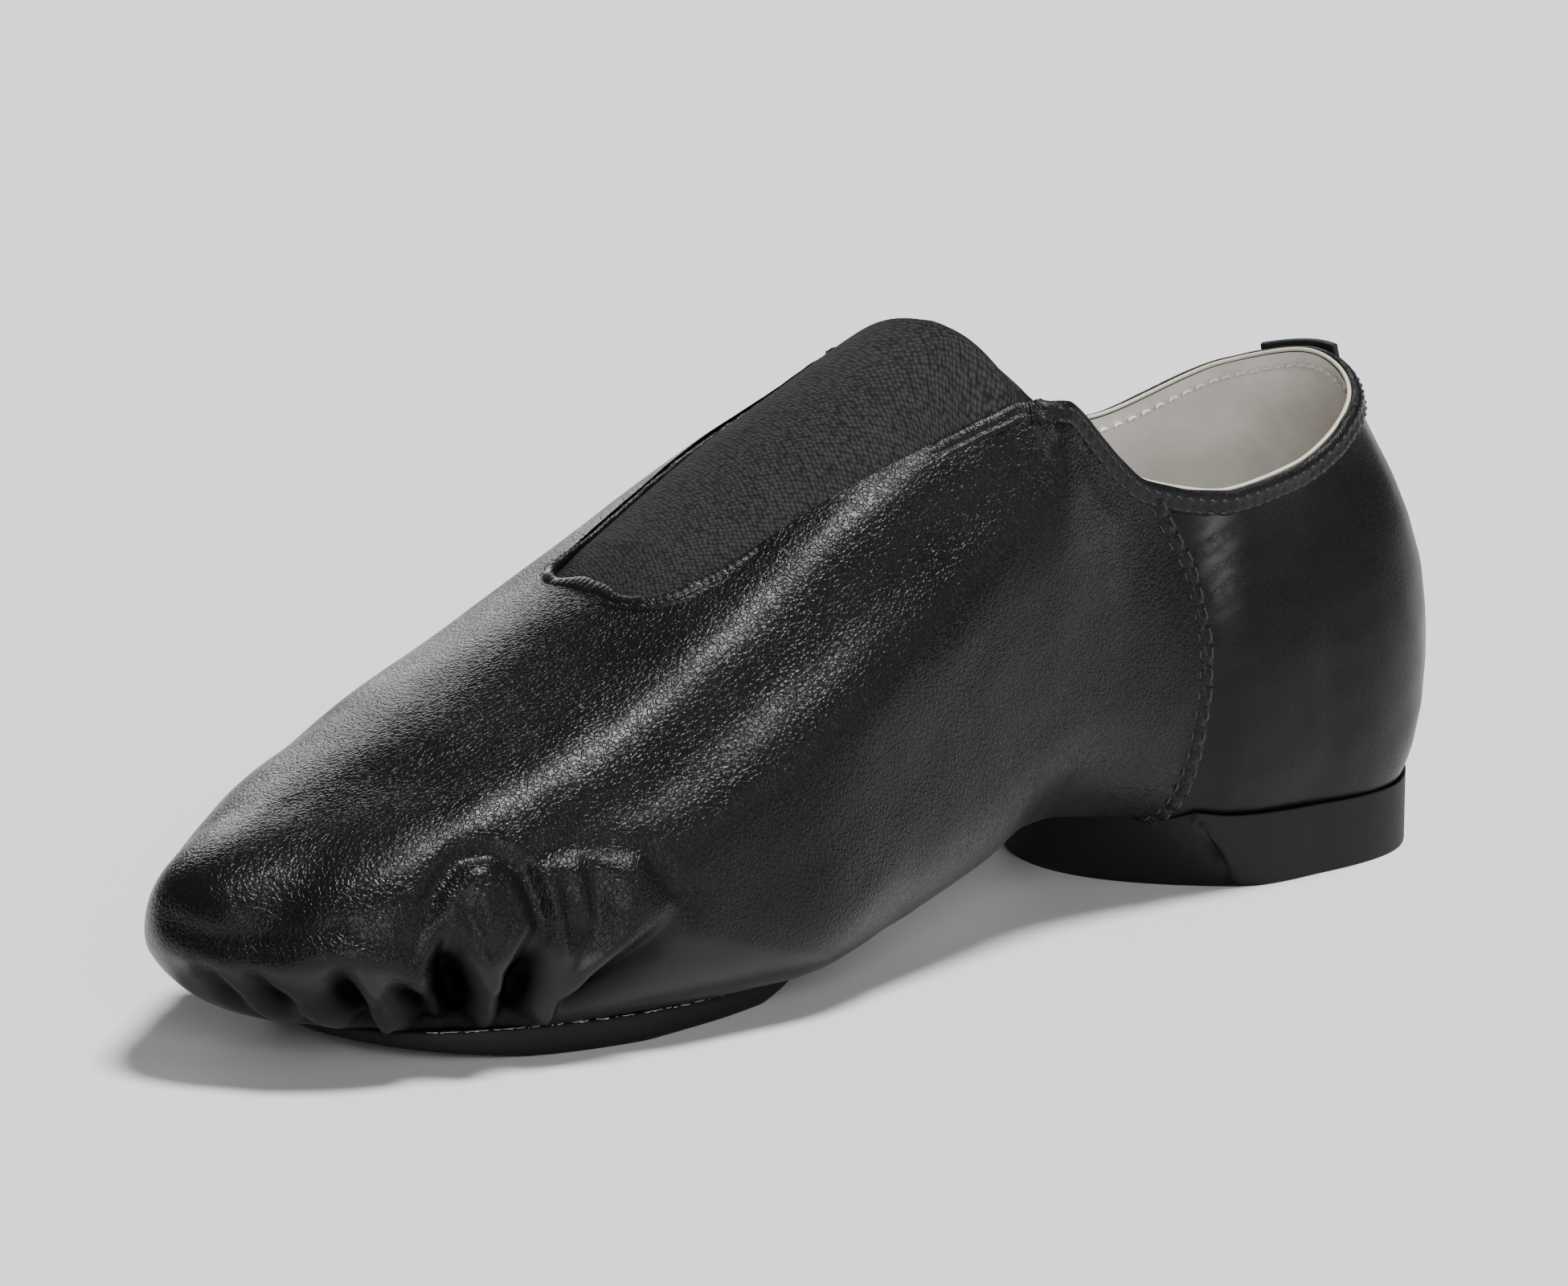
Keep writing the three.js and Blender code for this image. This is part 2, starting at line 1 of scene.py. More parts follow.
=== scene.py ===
import math
import bpy
import numpy as np
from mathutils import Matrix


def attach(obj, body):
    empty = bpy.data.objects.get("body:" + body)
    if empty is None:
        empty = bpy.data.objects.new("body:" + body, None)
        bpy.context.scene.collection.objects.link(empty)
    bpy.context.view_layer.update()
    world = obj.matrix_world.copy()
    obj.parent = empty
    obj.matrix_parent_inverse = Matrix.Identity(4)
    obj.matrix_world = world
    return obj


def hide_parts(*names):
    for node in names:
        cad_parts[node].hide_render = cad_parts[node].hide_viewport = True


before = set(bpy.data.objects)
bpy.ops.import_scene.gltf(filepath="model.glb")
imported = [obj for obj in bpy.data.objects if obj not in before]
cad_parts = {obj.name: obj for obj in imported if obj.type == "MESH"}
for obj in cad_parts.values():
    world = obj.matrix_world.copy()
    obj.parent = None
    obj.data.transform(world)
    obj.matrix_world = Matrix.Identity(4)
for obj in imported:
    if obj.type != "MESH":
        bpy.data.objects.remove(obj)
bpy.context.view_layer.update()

# Vamp
# Long front of the upper, one piece of soft black pebbled leather. It is pulled over the last,
# gathered in pleats round the toe and stuck down under the sole. Its edge is cut out for the gore.
MM = 0.001
SPINE, HALF_BALL = 172.0, 42.65
TOE_REACH, HEEL_REACH = 28.4, 42.0
INSTEP_RISE, ARCH_RISE = 82.0, 6.0
SOLE_THICKNESS, HEEL_HEIGHT, GAP = 3.3, 8.0, 0.3
BACK = 15.0
BLEND_ROWS, BLEND_FROM, BLEND_TO, BLEND_FADE = 0.7, 5.4, 11.4, 1.4
BLEND_LOW, BLEND_RISE, BLEND_TOP = 1.6, 0.5, 0.35
COLUMNS = ("turn along shift inner outer flat ride lift widest over open top arrive round "
           "swell settle").split()
SECTIONS = np.array([
    [0, 1, 0.08, 0.633, 0.551, 0.15, 0, 0.27, 0.224, 1, -0.6, 0.426, 22, 2, 0.6, 0.45],
    [38, 0.987, 0.075, 0.68, 0.528, 0.28, 0, 0.23, 0.195, 0.987, -0.6, 0.437, 18, 2, 0.59, 0.45],
    [72, 0.945, 0.056, 0.755, 0.715, 0.5, 0, 0.12, 0.183, 0.945, -0.6, 0.471, 7, 2.1, 0.61, 0.46],
    [90, 0.875, 0.026, 0.875, 0.872, 0.64, 0, 0.02, 0.173, 0.875, -0.6, 0.527, 0, 2.2, 0.61, 0.46],
    [90, 0.785, 0.005, 0.964, 0.961, 0.67, 0, 0, 0.174, 0.785, -0.6, 0.6, 0, 2.2, 0.62, 0.42],
    [90, 0.64, 0.005, 0.992, 1.008, 0.66, 0, 0, 0.177, 0.622, -0.6, 0.75, 0, 2.2, 0.61, 0.4],
    [90, 0.494, 0, 0.875, 0.931, 0.59, 0.2, 0.29, 0.231, 0.455, -0.6, 0.913, 0, 2.1, 0.61, 0.38],
    [90, 0.36, 0, 0.75, 0.795, 0.51, 0.5, 0.77, 0.274, 0.305, 0, 1.031, 0, 1.9, 0.645, 0.36],
    [90, 0.326, 0, 0.725, 0.755, 0.47, 0.6, 0.98, 0.3, 0.306, 0.42, 0.986, 20, 1.8, 0.7, 0.36],
    [90, 0.291, 0, 0.703, 0.722, 0.45, 0.7, 1.09, 0.316, 0.301, 0.79, 0.923, 38, 1.7, 0.62, 0.27],
    [90, 0.244, 0, 0.68, 0.701, 0.44, 0.8, 1.07, 0.324, 0.273, 0.88, 0.905, 80, 1.65, 0.5, 0.36],
    [90, 0.16, 0, 0.675, 0.701, 0.56, 0.95, 0.69, 0.308, 0.177, 0.87, 0.715, 92, 1.8, 0.4, 0.36],
    [90, 0.087, 0, 0.701, 0.717, 0.7, 1, 0.3, 0.289, 0.087, 0.87, 0.668, 94, 2.1, 0.42, 0.36],
    [105, 0.045, 0, 0.717, 0.722, 0.77, 1, 0.12, 0.282, 0.045, 0.82, 0.687, 88, 2.2, 0.46, 0.34],
    [138, 0.01, 0, 0.816, 0.755, 0.8, 1, 0, 0.289, 0.01, 0.71, 0.783, 74, 2.3, 0.54, 0.33],
    [180, 0, 0, 0.79, 0.755, 0.8, 1, 0, 0.301, 0, 0.645, 0.823, 76, 2.2, 0.54, 0.33],
])
STEPS = np.diff(SECTIONS, axis=0)
SLOPES = np.zeros_like(SECTIONS)
SLOPES[1:-1] = np.where(STEPS[:-1] * STEPS[1:] > 0,
                        2 * STEPS[:-1] * STEPS[1:] / np.where(STEPS[:-1] + STEPS[1:] == 0, 1,
                                                              STEPS[:-1] + STEPS[1:]), 0)
SLOPES[0, 0], SLOPES[-1, 0] = STEPS[0, 0], STEPS[-1, 0]


def rib_point(round_, place):
    """Points of single ribs in mm. round_ runs round the shoe from the toe tip at 0, along the inner
    side to the back at 15 and along the outer side to 30. place runs up a rib: 0 to 1 the level
    underside, 1 to 2 a superellipse quarter up to the widest line, 2 to 3 a Bezier curve to the
    ridge or the collar, and past 3 over the ridge. The sizes of each rib are cubic Hermite blends
    of the section table's rows."""
    round_, place = np.broadcast_arrays(np.asarray(round_, float), np.asarray(place, float))
    over = (place > 3) | (place < 0)
    round_ = np.where(over, -round_, round_) % 30
    place = np.where(place > 3, 6 - place, np.abs(place))
    side = np.where(round_ <= BACK, 1.0, -1.0)
    row = np.where(round_ <= BACK, round_, 30 - round_)
    k = np.clip(np.floor(row).astype(int), 0, len(SECTIONS) - 2)
    f = (row - k)[..., None]
    blend = (SECTIONS[k] * (1 + 2 * f) * (1 - f) ** 2 + SLOPES[k] * f * (1 - f) ** 2
             + SECTIONS[k + 1] * f * f * (3 - 2 * f) + SLOPES[k + 1] * f * f * (f - 1))
    s = {name: blend[..., c] for c, name in enumerate(COLUMNS)}
    width = np.where(side > 0, s["inner"], s["outer"]) * HALF_BALL
    turn = np.radians(s["turn"])
    reach = np.where(s["turn"] <= 90.0001, TOE_REACH, HEEL_REACH)
    span = np.hypot(reach * np.cos(turn), width * np.sin(turn))
    seat = GAP + SOLE_THICKNESS + (HEEL_HEIGHT - SOLE_THICKNESS) * s["ride"]
    under = seat + s["lift"] * ARCH_RISE
    widest = seat + s["widest"] * INSTEP_RISE
    top = seat + s["top"] * INSTEP_RISE
    opening = np.maximum(s["open"], 0)
    angle = np.clip(place - 1, 0, 1) * np.pi / 2
    power = 2 / s["round"]
    f = np.clip(place - 2, 0, 1)
    rise = top - widest
    pull = s["settle"] * np.hypot((1 - opening) * span, rise)
    arrive = np.radians(s["arrive"])
    b0, b1, b2, b3 = (1 - f) ** 3, 3 * f * (1 - f) ** 2, 3 * f * f * (1 - f), f ** 3
    rho = np.select([place <= 1, place <= 2],
                    [s["flat"] * place, s["flat"] + (1 - s["flat"]) * np.sin(angle) ** power],
                    b0 + b1 + (opening + np.cos(arrive) * pull / span) * b2 + opening * b3)
    z = np.select([place <= 1, place <= 2],
                  [under, widest - (widest - under) * np.maximum(np.cos(angle), 0) ** power],
                  widest * b0 + (widest + s["swell"] * rise) * b1
                  + (top - np.sin(arrive) * pull) * b2 + top * b3)
    lean = (s["over"] - s["along"]) * SPINE * f
    return np.stack([s["along"] * SPINE + rho * reach * np.cos(turn) + lean,
                     s["shift"] * HALF_BALL + side * rho * width * np.sin(turn), z], axis=-1)


def last(round_, place):
    """Outside of the shoe in mm: the ribs' points, and round the gore's rear corners, where the ribs
    crowd together, the bell-weighted mean of nine neighbouring ribs. The mean fades in and out along
    the shoe, upward from BLEND_LOW and again below the ridge or collar."""
    round_, place = np.broadcast_arrays(np.asarray(round_, float), np.asarray(place, float))
    row = np.minimum(round_ % 30, 30 - round_ % 30)
    up_rib = np.minimum(place, 6 - place)
    top = np.clip((3 - up_rib) / BLEND_TOP, 0, 1)
    spread = (BLEND_ROWS * np.clip((row - BLEND_FROM) / BLEND_FADE, 0, 1)
              * np.clip((BLEND_TO - row) / BLEND_FADE, 0, 1)
              * top * top * (3 - 2 * top) * np.clip((up_rib - BLEND_LOW) / BLEND_RISE, 0, 1))
    spread = np.where(round_ % 30 <= BACK, spread, -spread)
    mean = rib_point(round_, place)
    near = spread != 0
    if near.any():
        steps = np.linspace(-2, 2, 9)
        weights = np.exp(-steps ** 2 / 2) / np.exp(-steps ** 2 / 2).sum()
        around = round_[near][..., None] + spread[near][..., None] * steps
        mean[near] = (rib_point(around, place[near][..., None]) * weights[:, None]).sum(-2)
    return mean


def unit(v):
    """Vectors scaled to length 1."""
    return v / np.maximum(np.linalg.norm(v, axis=-1, keepdims=True), 1e-12)


def ribs(round_, place):
    """Points of the last, the directions along it and up its ribs, and the outward normals, from
    differences over a small step each way. At an open edge the step stays on the surface."""
    round_, place = np.broadcast_arrays(np.asarray(round_, float), np.asarray(place, float))
    step = 0.02
    row = np.minimum(round_ % 30, 30 - round_ % 30)
    high = np.where((row > 6.9) & (place + step > 3), 3.0, place + step)
    along = last(round_ + step, place) - last(round_ - step, place)
    up = last(round_, high) - last(round_, np.minimum(place, high) - step)
    return last(round_, place), unit(along), unit(up), unit(np.cross(along, up))


def even(start, end, step, place):
    """Places round the shoe a step in mm apart, from the length along one line of the last."""
    fine = np.linspace(start, end, 4000)
    run = np.linalg.norm(np.diff(last(fine, place), axis=0), axis=-1)
    length = np.concatenate([[0], np.cumsum(run)])
    return np.interp(np.linspace(0, length[-1], int(length[-1] / step) + 1), length, fine)


def sheet(name, points, wrap=False):
    """Mesh of a grid of points in mm, smooth, with its UV map in metres along both ways of the
    grid. wrap joins the last column to the first."""
    m, n = points.shape[:2]
    i, j = np.meshgrid(np.arange(m - 1), np.arange(n if wrap else n - 1), indexing="ij")
    i, j = i.ravel(), j.ravel()
    k = (j + 1) % n
    faces = np.stack([i * n + j, (i + 1) * n + j, (i + 1) * n + k, i * n + k], axis=1)
    mesh = bpy.data.meshes.new(name)
    mesh.from_pydata((points.reshape(-1, 3) * MM).tolist(), [], faces.tolist())
    mesh.polygons.foreach_set("use_smooth", np.ones(len(faces), bool))
    u = np.concatenate([[0], np.cumsum(np.linalg.norm(np.diff(points[:, n // 2], axis=0), axis=-1))])
    v = np.concatenate([[0], np.cumsum(np.linalg.norm(np.diff(points[m // 2], axis=0), axis=-1)),
                        [0]])
    v[-1] = v[-2] + (v[-2] - v[-3])
    corners = np.stack([np.stack([u[i], u[i + 1], u[i + 1], u[i]], 1),
                        np.stack([v[j], v[j], v[j + 1], v[j + 1]], 1)], axis=-1)
    mesh.uv_layers.new(name="UVMap").data.foreach_set("uv", (corners * MM).ravel())
    mesh.update()
    piece = bpy.data.objects.new(name, mesh)
    bpy.context.collection.objects.link(piece)
    return piece


def join(name, parts):
    """One object of several, with their touching points made one."""
    bpy.ops.object.select_all(action="DESELECT")
    for part in parts:
        part.select_set(True)
    bpy.context.view_layer.objects.active = parts[0]
    bpy.ops.object.join()
    bpy.ops.object.mode_set(mode="EDIT")
    bpy.ops.mesh.select_all(action="SELECT")
    bpy.ops.mesh.remove_doubles(threshold=0.00004)
    bpy.ops.object.mode_set(mode="OBJECT")
    parts[0].select_set(False)
    parts[0].name = parts[0].data.name = name
    return parts[0]


def crease(points, path):
    """Height in mm that one crease gives to points: path has rows of place round the shoe, place
    up the rib, half width and height, and the height falls off as a bell with the distance."""
    path = np.array(path, float)
    knots = last(path[:, 0], path[:, 1])
    best = np.full(points.shape[:-1], 1e9)
    width = np.ones(points.shape[:-1])
    height = np.zeros(points.shape[:-1])
    for a, b, wa, wb, ha, hb in zip(knots, knots[1:], path[:, 2], path[1:, 2], path[:, 3],
                                    path[1:, 3]):
        share = np.clip(((points - a) @ (b - a)) / max((b - a) @ (b - a), 1e-9), 0, 1)
        gap = np.linalg.norm(points - a - share[..., None] * (b - a), axis=-1)
        near = gap < best
        best = np.where(near, gap, best)
        width = np.where(near, wa + (wb - wa) * share, width)
        height = np.where(near, ha + (hb - ha) * share, height)
    return height * np.exp(-(best / width) ** 2)


# Pleats round the toe, long soft folds of the vamp, and pleats of the outer side. Each is a path with
# rows of: place round the shoe, place up the rib, half width mm, height mm
PLEATS = [
    [[0.36, 1.86, 1.2, -0.3], [0.4, 1.78, 1.6, -1.2], [0.44, 1.59, 1.8, -1.6], [0.5, 1.35, 1.6, -1.2]],
    [[0.68, 1.88, 1.4, -0.4], [0.76, 1.81, 1.9, -1.5], [0.88, 1.58, 2.2, -2.2], [1.0, 1.25, 2, -1.5]],
    [[1.3, 1.96, 1.6, -0.6], [1.33, 1.9, 2.2, -2.0], [1.37, 1.75, 2.7, -3.2], [1.42, 1.56, 2.8, -3.4],
     [1.54, 1.25, 2.4, -2.6]],
    [[1.62, 1.84, 1.6, -0.5], [1.68, 1.77, 2.0, -1.8], [1.8, 1.59, 2.4, -2.8], [2.0, 1.25, 2.2, -2.4]],
    [[1.99, 2.1, 1.8, -0.6], [2.0, 2.03, 2.5, -2.4], [2.0, 1.93, 3.0, -4.0], [2.04, 1.77, 3.1, -4.8],
     [2.12, 1.5, 2.8, -4.4], [2.2, 1.28, 2.3, -3.2]],
    [[2.62, 2.06, 2.0, -0.6], [2.56, 1.97, 3.0, -2.6], [2.5, 1.84, 3.4, -3.8], [2.48, 1.7, 3.2, -4.2],
     [2.52, 1.37, 2.6, -3.6]],
    [[4.0, 2.05, 2.4, -0.5], [3.75, 1.97, 3.4, -1.8], [3.45, 1.88, 3.6, -2.4], [3.15, 1.76, 3.0, -2.8],
     [2.9, 1.56, 2.4, -2.8]],
    [[0.1, 1.65, 3.0, -0.4], [1, 1.65, 3.5, -0.7], [2, 1.65, 3.5, -0.7], [3.2, 1.65, 3.5, -0.5],
     [4, 1.7, 3.5, -0.2]],
    [[1.36, 2.01, 2.0, 0.4], [1.48, 1.76, 1.5, 1.2], [1.64, 1.3, 1.4, 1.4]],
    [[1.8, 1.84, 1.6, 0.6], [1.93, 1.6, 1.3, 1.0], [2.12, 1.2, 1.2, 0.8]],
    [[2.16, 2.06, 1.8, 0.5], [2.24, 1.93, 1.8, 1.4], [2.32, 1.71, 1.9, 2.0], [2.42, 1.35, 1.6, 1.6]],
    [[2.48, 2.09, 1.6, 0.6], [2.38, 1.98, 1.5, 1.1], [2.33, 1.8, 1.5, 0.8]],
    [[3.84, 2.07, 2.2, 0.6], [3.24, 1.93, 2.0, 1.7], [2.92, 1.75, 1.8, 2.2], [2.76, 1.46, 1.6, 1.8]],
    [[0.05, 1.93, 2.5, 0.7], [0.4, 1.9, 2.6, 1.0], [1.04, 1.98, 2.4, 1.1], [1.36, 2.04, 2.2, 1.0],
     [1.62, 1.99, 2.2, 1.1], [1.8, 1.9, 1.8, 0.7]],
    [[1.72, 2.0, 1.8, -0.6], [1.84, 2.15, 1.9, -1.2], [1.96, 2.28, 1.8, -1.4], [2.16, 2.37, 1.7, -1.3],
     [2.4, 2.36, 1.7, -1.3], [2.56, 2.28, 1.8, -1.7], [2.62, 2.16, 1.8, -1.9], [2.64, 2.06, 1.6, -1.0]],
    [[2.28, 2.27, 2.4, 0.7], [2.28, 2.18, 2.4, 1.0], [2.27, 2.08, 2.0, 0.8]],
    [[2.13, 2.2, 1.2, -0.2], [2.17, 2.1, 1.3, -0.9], [2.22, 2.02, 1.2, -0.5]],
    [[2.84, 2.2, 1.6, -0.6], [2.87, 2.07, 1.8, -1.4], [2.88, 1.95, 1.8, -0.7]],
    [[3.14, 2.22, 1.6, -0.6], [3.12, 2.1, 1.8, -1.4], [3.05, 2.0, 1.8, -0.6]],
    [[2.7, 2.3, 2.4, -0.4], [2.9, 2.31, 2.4, -0.8], [3.3, 2.28, 2.4, -0.9], [3.75, 2.22, 2.2, -0.9],
     [3.98, 2.1, 2.2, -1.0]],
    [[2.72, 2.22, 2.4, 0.5], [2.73, 2.1, 2.2, 1.3], [2.74, 2.0, 2.2, 0.8]],
    [[3.0, 2.22, 1.8, 0.5], [3.0, 2.1, 1.6, 0.9]],
    [[3.57, 2.18, 3.0, 0.6], [3.52, 2.1, 2.8, 1.2], [3.4, 2.02, 2.2, 0.7]],
    [[0.5, 1.98, 4, -0.4], [0.75, 2.08, 5, -1.3], [0.9, 2.2, 5, -1.5], [1.05, 2.35, 5, -1.1],
     [1.25, 2.55, 5, -0.4]],
    [[0.05, 2.04, 2.2, -0.4], [0.5, 2.02, 2.0, -0.6], [0.95, 2.06, 2.0, -0.6], [1.3, 2.14, 2, -0.4]],
]
# Line over which the leather is grained and under which it is plain: place round, place up the rib
SHELF = np.array([[0, 1.89], [0.2, 1.89], [0.68, 1.92], [1.04, 1.95], [1.36, 2.01], [1.6, 1.96],
                  [1.8, 1.84], [2.0, 2.09], [2.24, 1.98], [2.52, 2.1], [2.76, 1.99], [3.24, 1.98],
                  [3.84, 2.07], [4.32, 1.94], [5.2, 1.6], [5.6, 1.0]])
# Paths as above
FOLDS = [
    [[6.6, 2.66, 5, 0.0], [6.16, 2.64, 6, 0.5], [5.32, 2.68, 6, 0.7], [4.48, 2.58, 6, 0.7],
     [3.64, 2.54, 6, 0.7], [3.0, 2.54, 6, 0.7], [2.4, 2.5, 5.5, 0.7], [2.0, 2.42, 5, 0.4]],
    [[8.4, 2.68, 5, -0.2], [8.0, 2.61, 5.5, -0.6], [7.04, 2.5, 6, -1.0], [6.24, 2.49, 6.5, -1.1],
     [5.72, 2.48, 6.5, -1.2], [4.96, 2.45, 6.5, -1.2], [4.3, 2.39, 6, -1.1], [3.8, 2.35, 5, -0.9],
     [3.1, 2.36, 4, -0.7]],
    [[7.2, 2.4, 6, 0.2], [6.5, 2.32, 7, 0.6], [5.64, 2.3, 7, 0.7], [4.96, 2.33, 6, 0.6],
     [4.24, 2.23, 6, 0.5]],
    [[6.7, 2.1, 7, 0], [6.0, 2.1, 8, -0.6], [5.2, 2.1, 8, -0.7], [4.6, 2.05, 7, -0.5]],
    [[5.0, 2.8, 5, 0], [4.68, 2.78, 6, -0.5], [4.16, 2.82, 7, -0.7], [3.6, 2.81, 7, -0.8],
     [2.76, 2.75, 7, -0.9], [2.24, 2.78, 7, -0.9], [1.68, 2.82, 7, -0.7], [1.1, 2.6, 7, -0.6],
     [0.84, 2.39, 6, -0.6]],
    [[-6.2, 2.6, 6, 0.5], [-5.2, 2.62, 6, 0.7], [-4.2, 2.55, 6, 0.6], [-3.0, 2.52, 6, 0.5]],
    [[-7.6, 2.55, 6, -0.6], [-6.2, 2.45, 6.5, -1.0], [-5.0, 2.42, 6.5, -1.1], [-4.0, 2.36, 6, -0.9]],
    [[-6.5, 2.28, 7, 0.5], [-5.4, 2.25, 7, 0.7], [-4.3, 2.2, 7, 0.4]],
]
OUTER_PLEATS = [
    [[-0.5, 1.75, 1.6, -0.3], [-0.6, 1.6, 1.9, -1.4], [-0.75, 1.35, 2.0, -1.8]],
    [[-0.95, 1.85, 1.6, -0.3], [-1.05, 1.65, 2.2, -2.1], [-1.2, 1.3, 2.2, -2.2]],
    [[-1.35, 1.95, 1.6, -0.4], [-1.45, 1.7, 2.4, -2.6], [-1.6, 1.3, 2.4, -2.4]],
    [[-1.8, 2.0, 1.8, -0.5], [-1.85, 1.75, 2.7, -3.0], [-1.95, 1.3, 2.5, -2.6]],
    [[-2.2, 2.05, 1.8, -0.5], [-2.25, 1.8, 2.8, -3.2], [-2.3, 1.3, 2.5, -2.8]],
    [[-2.65, 2.1, 2.0, -0.5], [-2.6, 1.85, 3.0, -2.8], [-2.55, 1.3, 2.7, -2.8]],
    [[-3.2, 2.08, 2.0, -0.4], [-3.0, 1.8, 2.6, -2.0], [-2.85, 1.3, 2.2, -2.2]],
    [[-1.6, 2.12, 2.2, -0.3], [-2.0, 2.25, 2.4, -1.0], [-2.5, 2.25, 2.2, -0.9], [-2.7, 2.1, 2, -0.3]],
    [[-2.05, 2.05, 1.8, 0.3], [-2.08, 1.8, 1.7, 1.4], [-2.12, 1.4, 1.5, 1.5]],
    [[-2.9, 2.05, 2.0, 0.5], [-2.8, 1.8, 1.8, 1.4], [-2.7, 1.4, 1.5, 1.3]],
    [[-0.2, 1.85, 4.0, 0.5], [-1.0, 1.85, 5.0, 0.8], [-2.0, 1.8, 6.0, 1.3], [-3.0, 1.8, 6.0, 1.1],
     [-3.9, 1.8, 6.0, 0.2]],
]
# Gore's opening: share of its length from the front, half width as a share of GORE_WIDTH
GORE_INNER = np.array([[0, 0.14], [0.01, 0.18], [0.03, 0.225], [0.07, 0.262], [0.12, 0.287],
                       [0.2, 0.315], [0.31, 0.343], [0.5, 0.378], [0.7, 0.415], [0.8, 0.432],
                       [0.9, 0.447], [0.95, 0.462], [1, 0.494]])
GORE_OUTER = np.array([[0, 0.18], [0.01, 0.22], [0.03, 0.265], [0.07, 0.305], [0.12, 0.33],
                       [0.2, 0.358], [0.31, 0.385], [0.5, 0.41], [0.7, 0.433], [0.9, 0.455],
                       [1, 0.502]])
GORE_WIDTH, GORE_LENGTH, GORE_BACK = 47.6, 67.0, 9.0
# Side seam: place up the rib, place round the shoe
SEAM = np.array([[0, 11.3], [1, 11.32], [1.5, 11.4], [1.87, 11.43], [2.24, 11.55], [2.65, 11.48],
                 [3, 11.12]])
SEAM_ROW = 11.4
gore_peak = last(GORE_BACK, 3)[0]
ridge_rows = np.linspace(3, 7, 4001)
GORE_FRONT = float(np.interp(gore_peak + GORE_LENGTH, last(ridge_rows, 3)[::-1, 0],
                             ridge_rows[::-1]))


def gore_edge(round_):
    """Place up the rib of the gore's opening, or of the collar behind it: where the distance from
    the middle line is the opening's half width there, found by halving."""
    row = np.minimum(np.asarray(round_, float) % 30, 30 - np.asarray(round_, float) % 30)
    inner = (np.asarray(round_, float) % 30) <= BACK
    at = np.clip(row, GORE_FRONT, GORE_BACK)
    at = np.where(inner, at, 30 - at)
    middle = last(at, 0)[..., 1]
    low, high = np.full(at.shape, 2.1), np.full(at.shape, 3.0)
    for _ in range(30):
        mid = (low + high) / 2
        p = last(at, mid)
        share = (gore_peak + GORE_LENGTH - p[..., 0]) / GORE_LENGTH
        half = np.where(inner, np.interp(share, *GORE_INNER.T), np.interp(share, *GORE_OUTER.T))
        wide = np.abs(p[..., 1] - middle) > GORE_WIDTH * half
        low, high = np.where(wide, mid, low), np.where(wide, high, mid)
    return np.where(row >= GORE_BACK, 3.0, mid)


def bent(line, place):
    """Place round the shoe of a mesh line, with the lines near the side seam bent along it."""
    row = np.minimum(line % 30, 30 - line % 30)
    shift = (np.interp(place, *SEAM.T) - SEAM_ROW) * np.clip(1 - np.abs(row - SEAM_ROW) / 1.3, 0, 1)
    inner = (line % 30) <= BACK
    return np.where(inner, row + shift, -(row + shift))


def waves(points, size, seed, count=24):
    """Soft unevenness, about 1 high: a sum of sine waves in random directions, of about one size
    in mm."""
    rng = np.random.default_rng(seed)
    ways = unit(rng.normal(size=(count, 3))) * rng.uniform(0.6, 1.5, (count, 1)) * 2 * np.pi / size
    return np.sin(points @ ways.T + rng.uniform(0, 2 * np.pi, count)).sum(-1) / np.sqrt(count)


def pleat_height(p):
    """Height of the toe's pleats over the last at points, in mm."""
    return sum(crease(p, path) for path in PLEATS + OUTER_PLEATS)


def drawn(round_, place):
    """Vamp's surface in mm: the last raised along its normals by pleats, creases and soft dents."""
    p, _, _, normal = ribs(round_, place)
    height = pleat_height(p) + sum(crease(p, path) for path in FOLDS)
    height = height + 0.10 * waves(p, 26, 3) + 0.04 * waves(p, 9, 4)
    return p + normal * height[..., None]


def mark(piece, name, values):
    """Number kept at each point of a piece for its material."""
    piece.data.attributes.new(name, "FLOAT", "POINT").data.foreach_set("value", values.ravel())


lines = even(-SEAM_ROW, SEAM_ROW, 0.8, 1.9)
lines[np.argmin(np.abs(lines))] = 0.0
for corner in (-GORE_BACK, -GORE_FRONT, GORE_FRONT, GORE_BACK):
    lines[np.argmin(np.abs(lines - corner))] = corner
edge = gore_edge(lines)
share = np.linspace(0, 1, 88)
places = np.concatenate([np.broadcast_to(np.linspace(0, 1, 7)[:-1], (len(lines), 6)),
                         np.broadcast_to(1 + np.linspace(0, 1, 37)[:-1], (len(lines), 36)),
                         2 + (edge[:, None] - 2) * share], axis=1)
wide_rounds = bent(lines[:, None], places)
wide = sheet("vamp_wide", drawn(wide_rounds, places))
# Painted shade: a mask by the depth of the pleats' hollows, which darkens the colour and lowers the shine
# there.
mark(wide, "painted_pleat_shade", np.clip(-pleat_height(last(wide_rounds, places)) / 2.4 - 0.2, 0, 1)
     * np.clip((2.12 - places) / 0.12, 0, 1))
shelf = np.interp(np.abs(wide_rounds), *SHELF.T)
mark(wide, "plain", np.clip((shelf - places) / 0.06, 0, 1))
front = lines[(lines >= 0) & (lines <= GORE_FRONT)]
across = np.linspace(-1, 1, 61)
top_edge = np.where(across > 0, gore_edge(front)[:, None], gore_edge(-front)[:, None])
top_place = 3 - (3 - top_edge) * np.abs(across)
top_round = np.where(across > 0, front[:, None], -front[:, None])
cap = sheet("vamp_cap", drawn(top_round, top_place)[:, ::-1])
vamp = join("vamp", [wide, cap])


def speckle(nodes, links, scale, detail):
    """Noise texture of a scale and detail, fixed to the object."""
    place_of = nodes.new("ShaderNodeTexCoord")
    noise = nodes.new("ShaderNodeTexNoise")
    noise.inputs["Scale"].default_value, noise.inputs["Detail"].default_value = scale, detail
    links.new(place_of.outputs["Object"], noise.inputs["Vector"])
    return noise


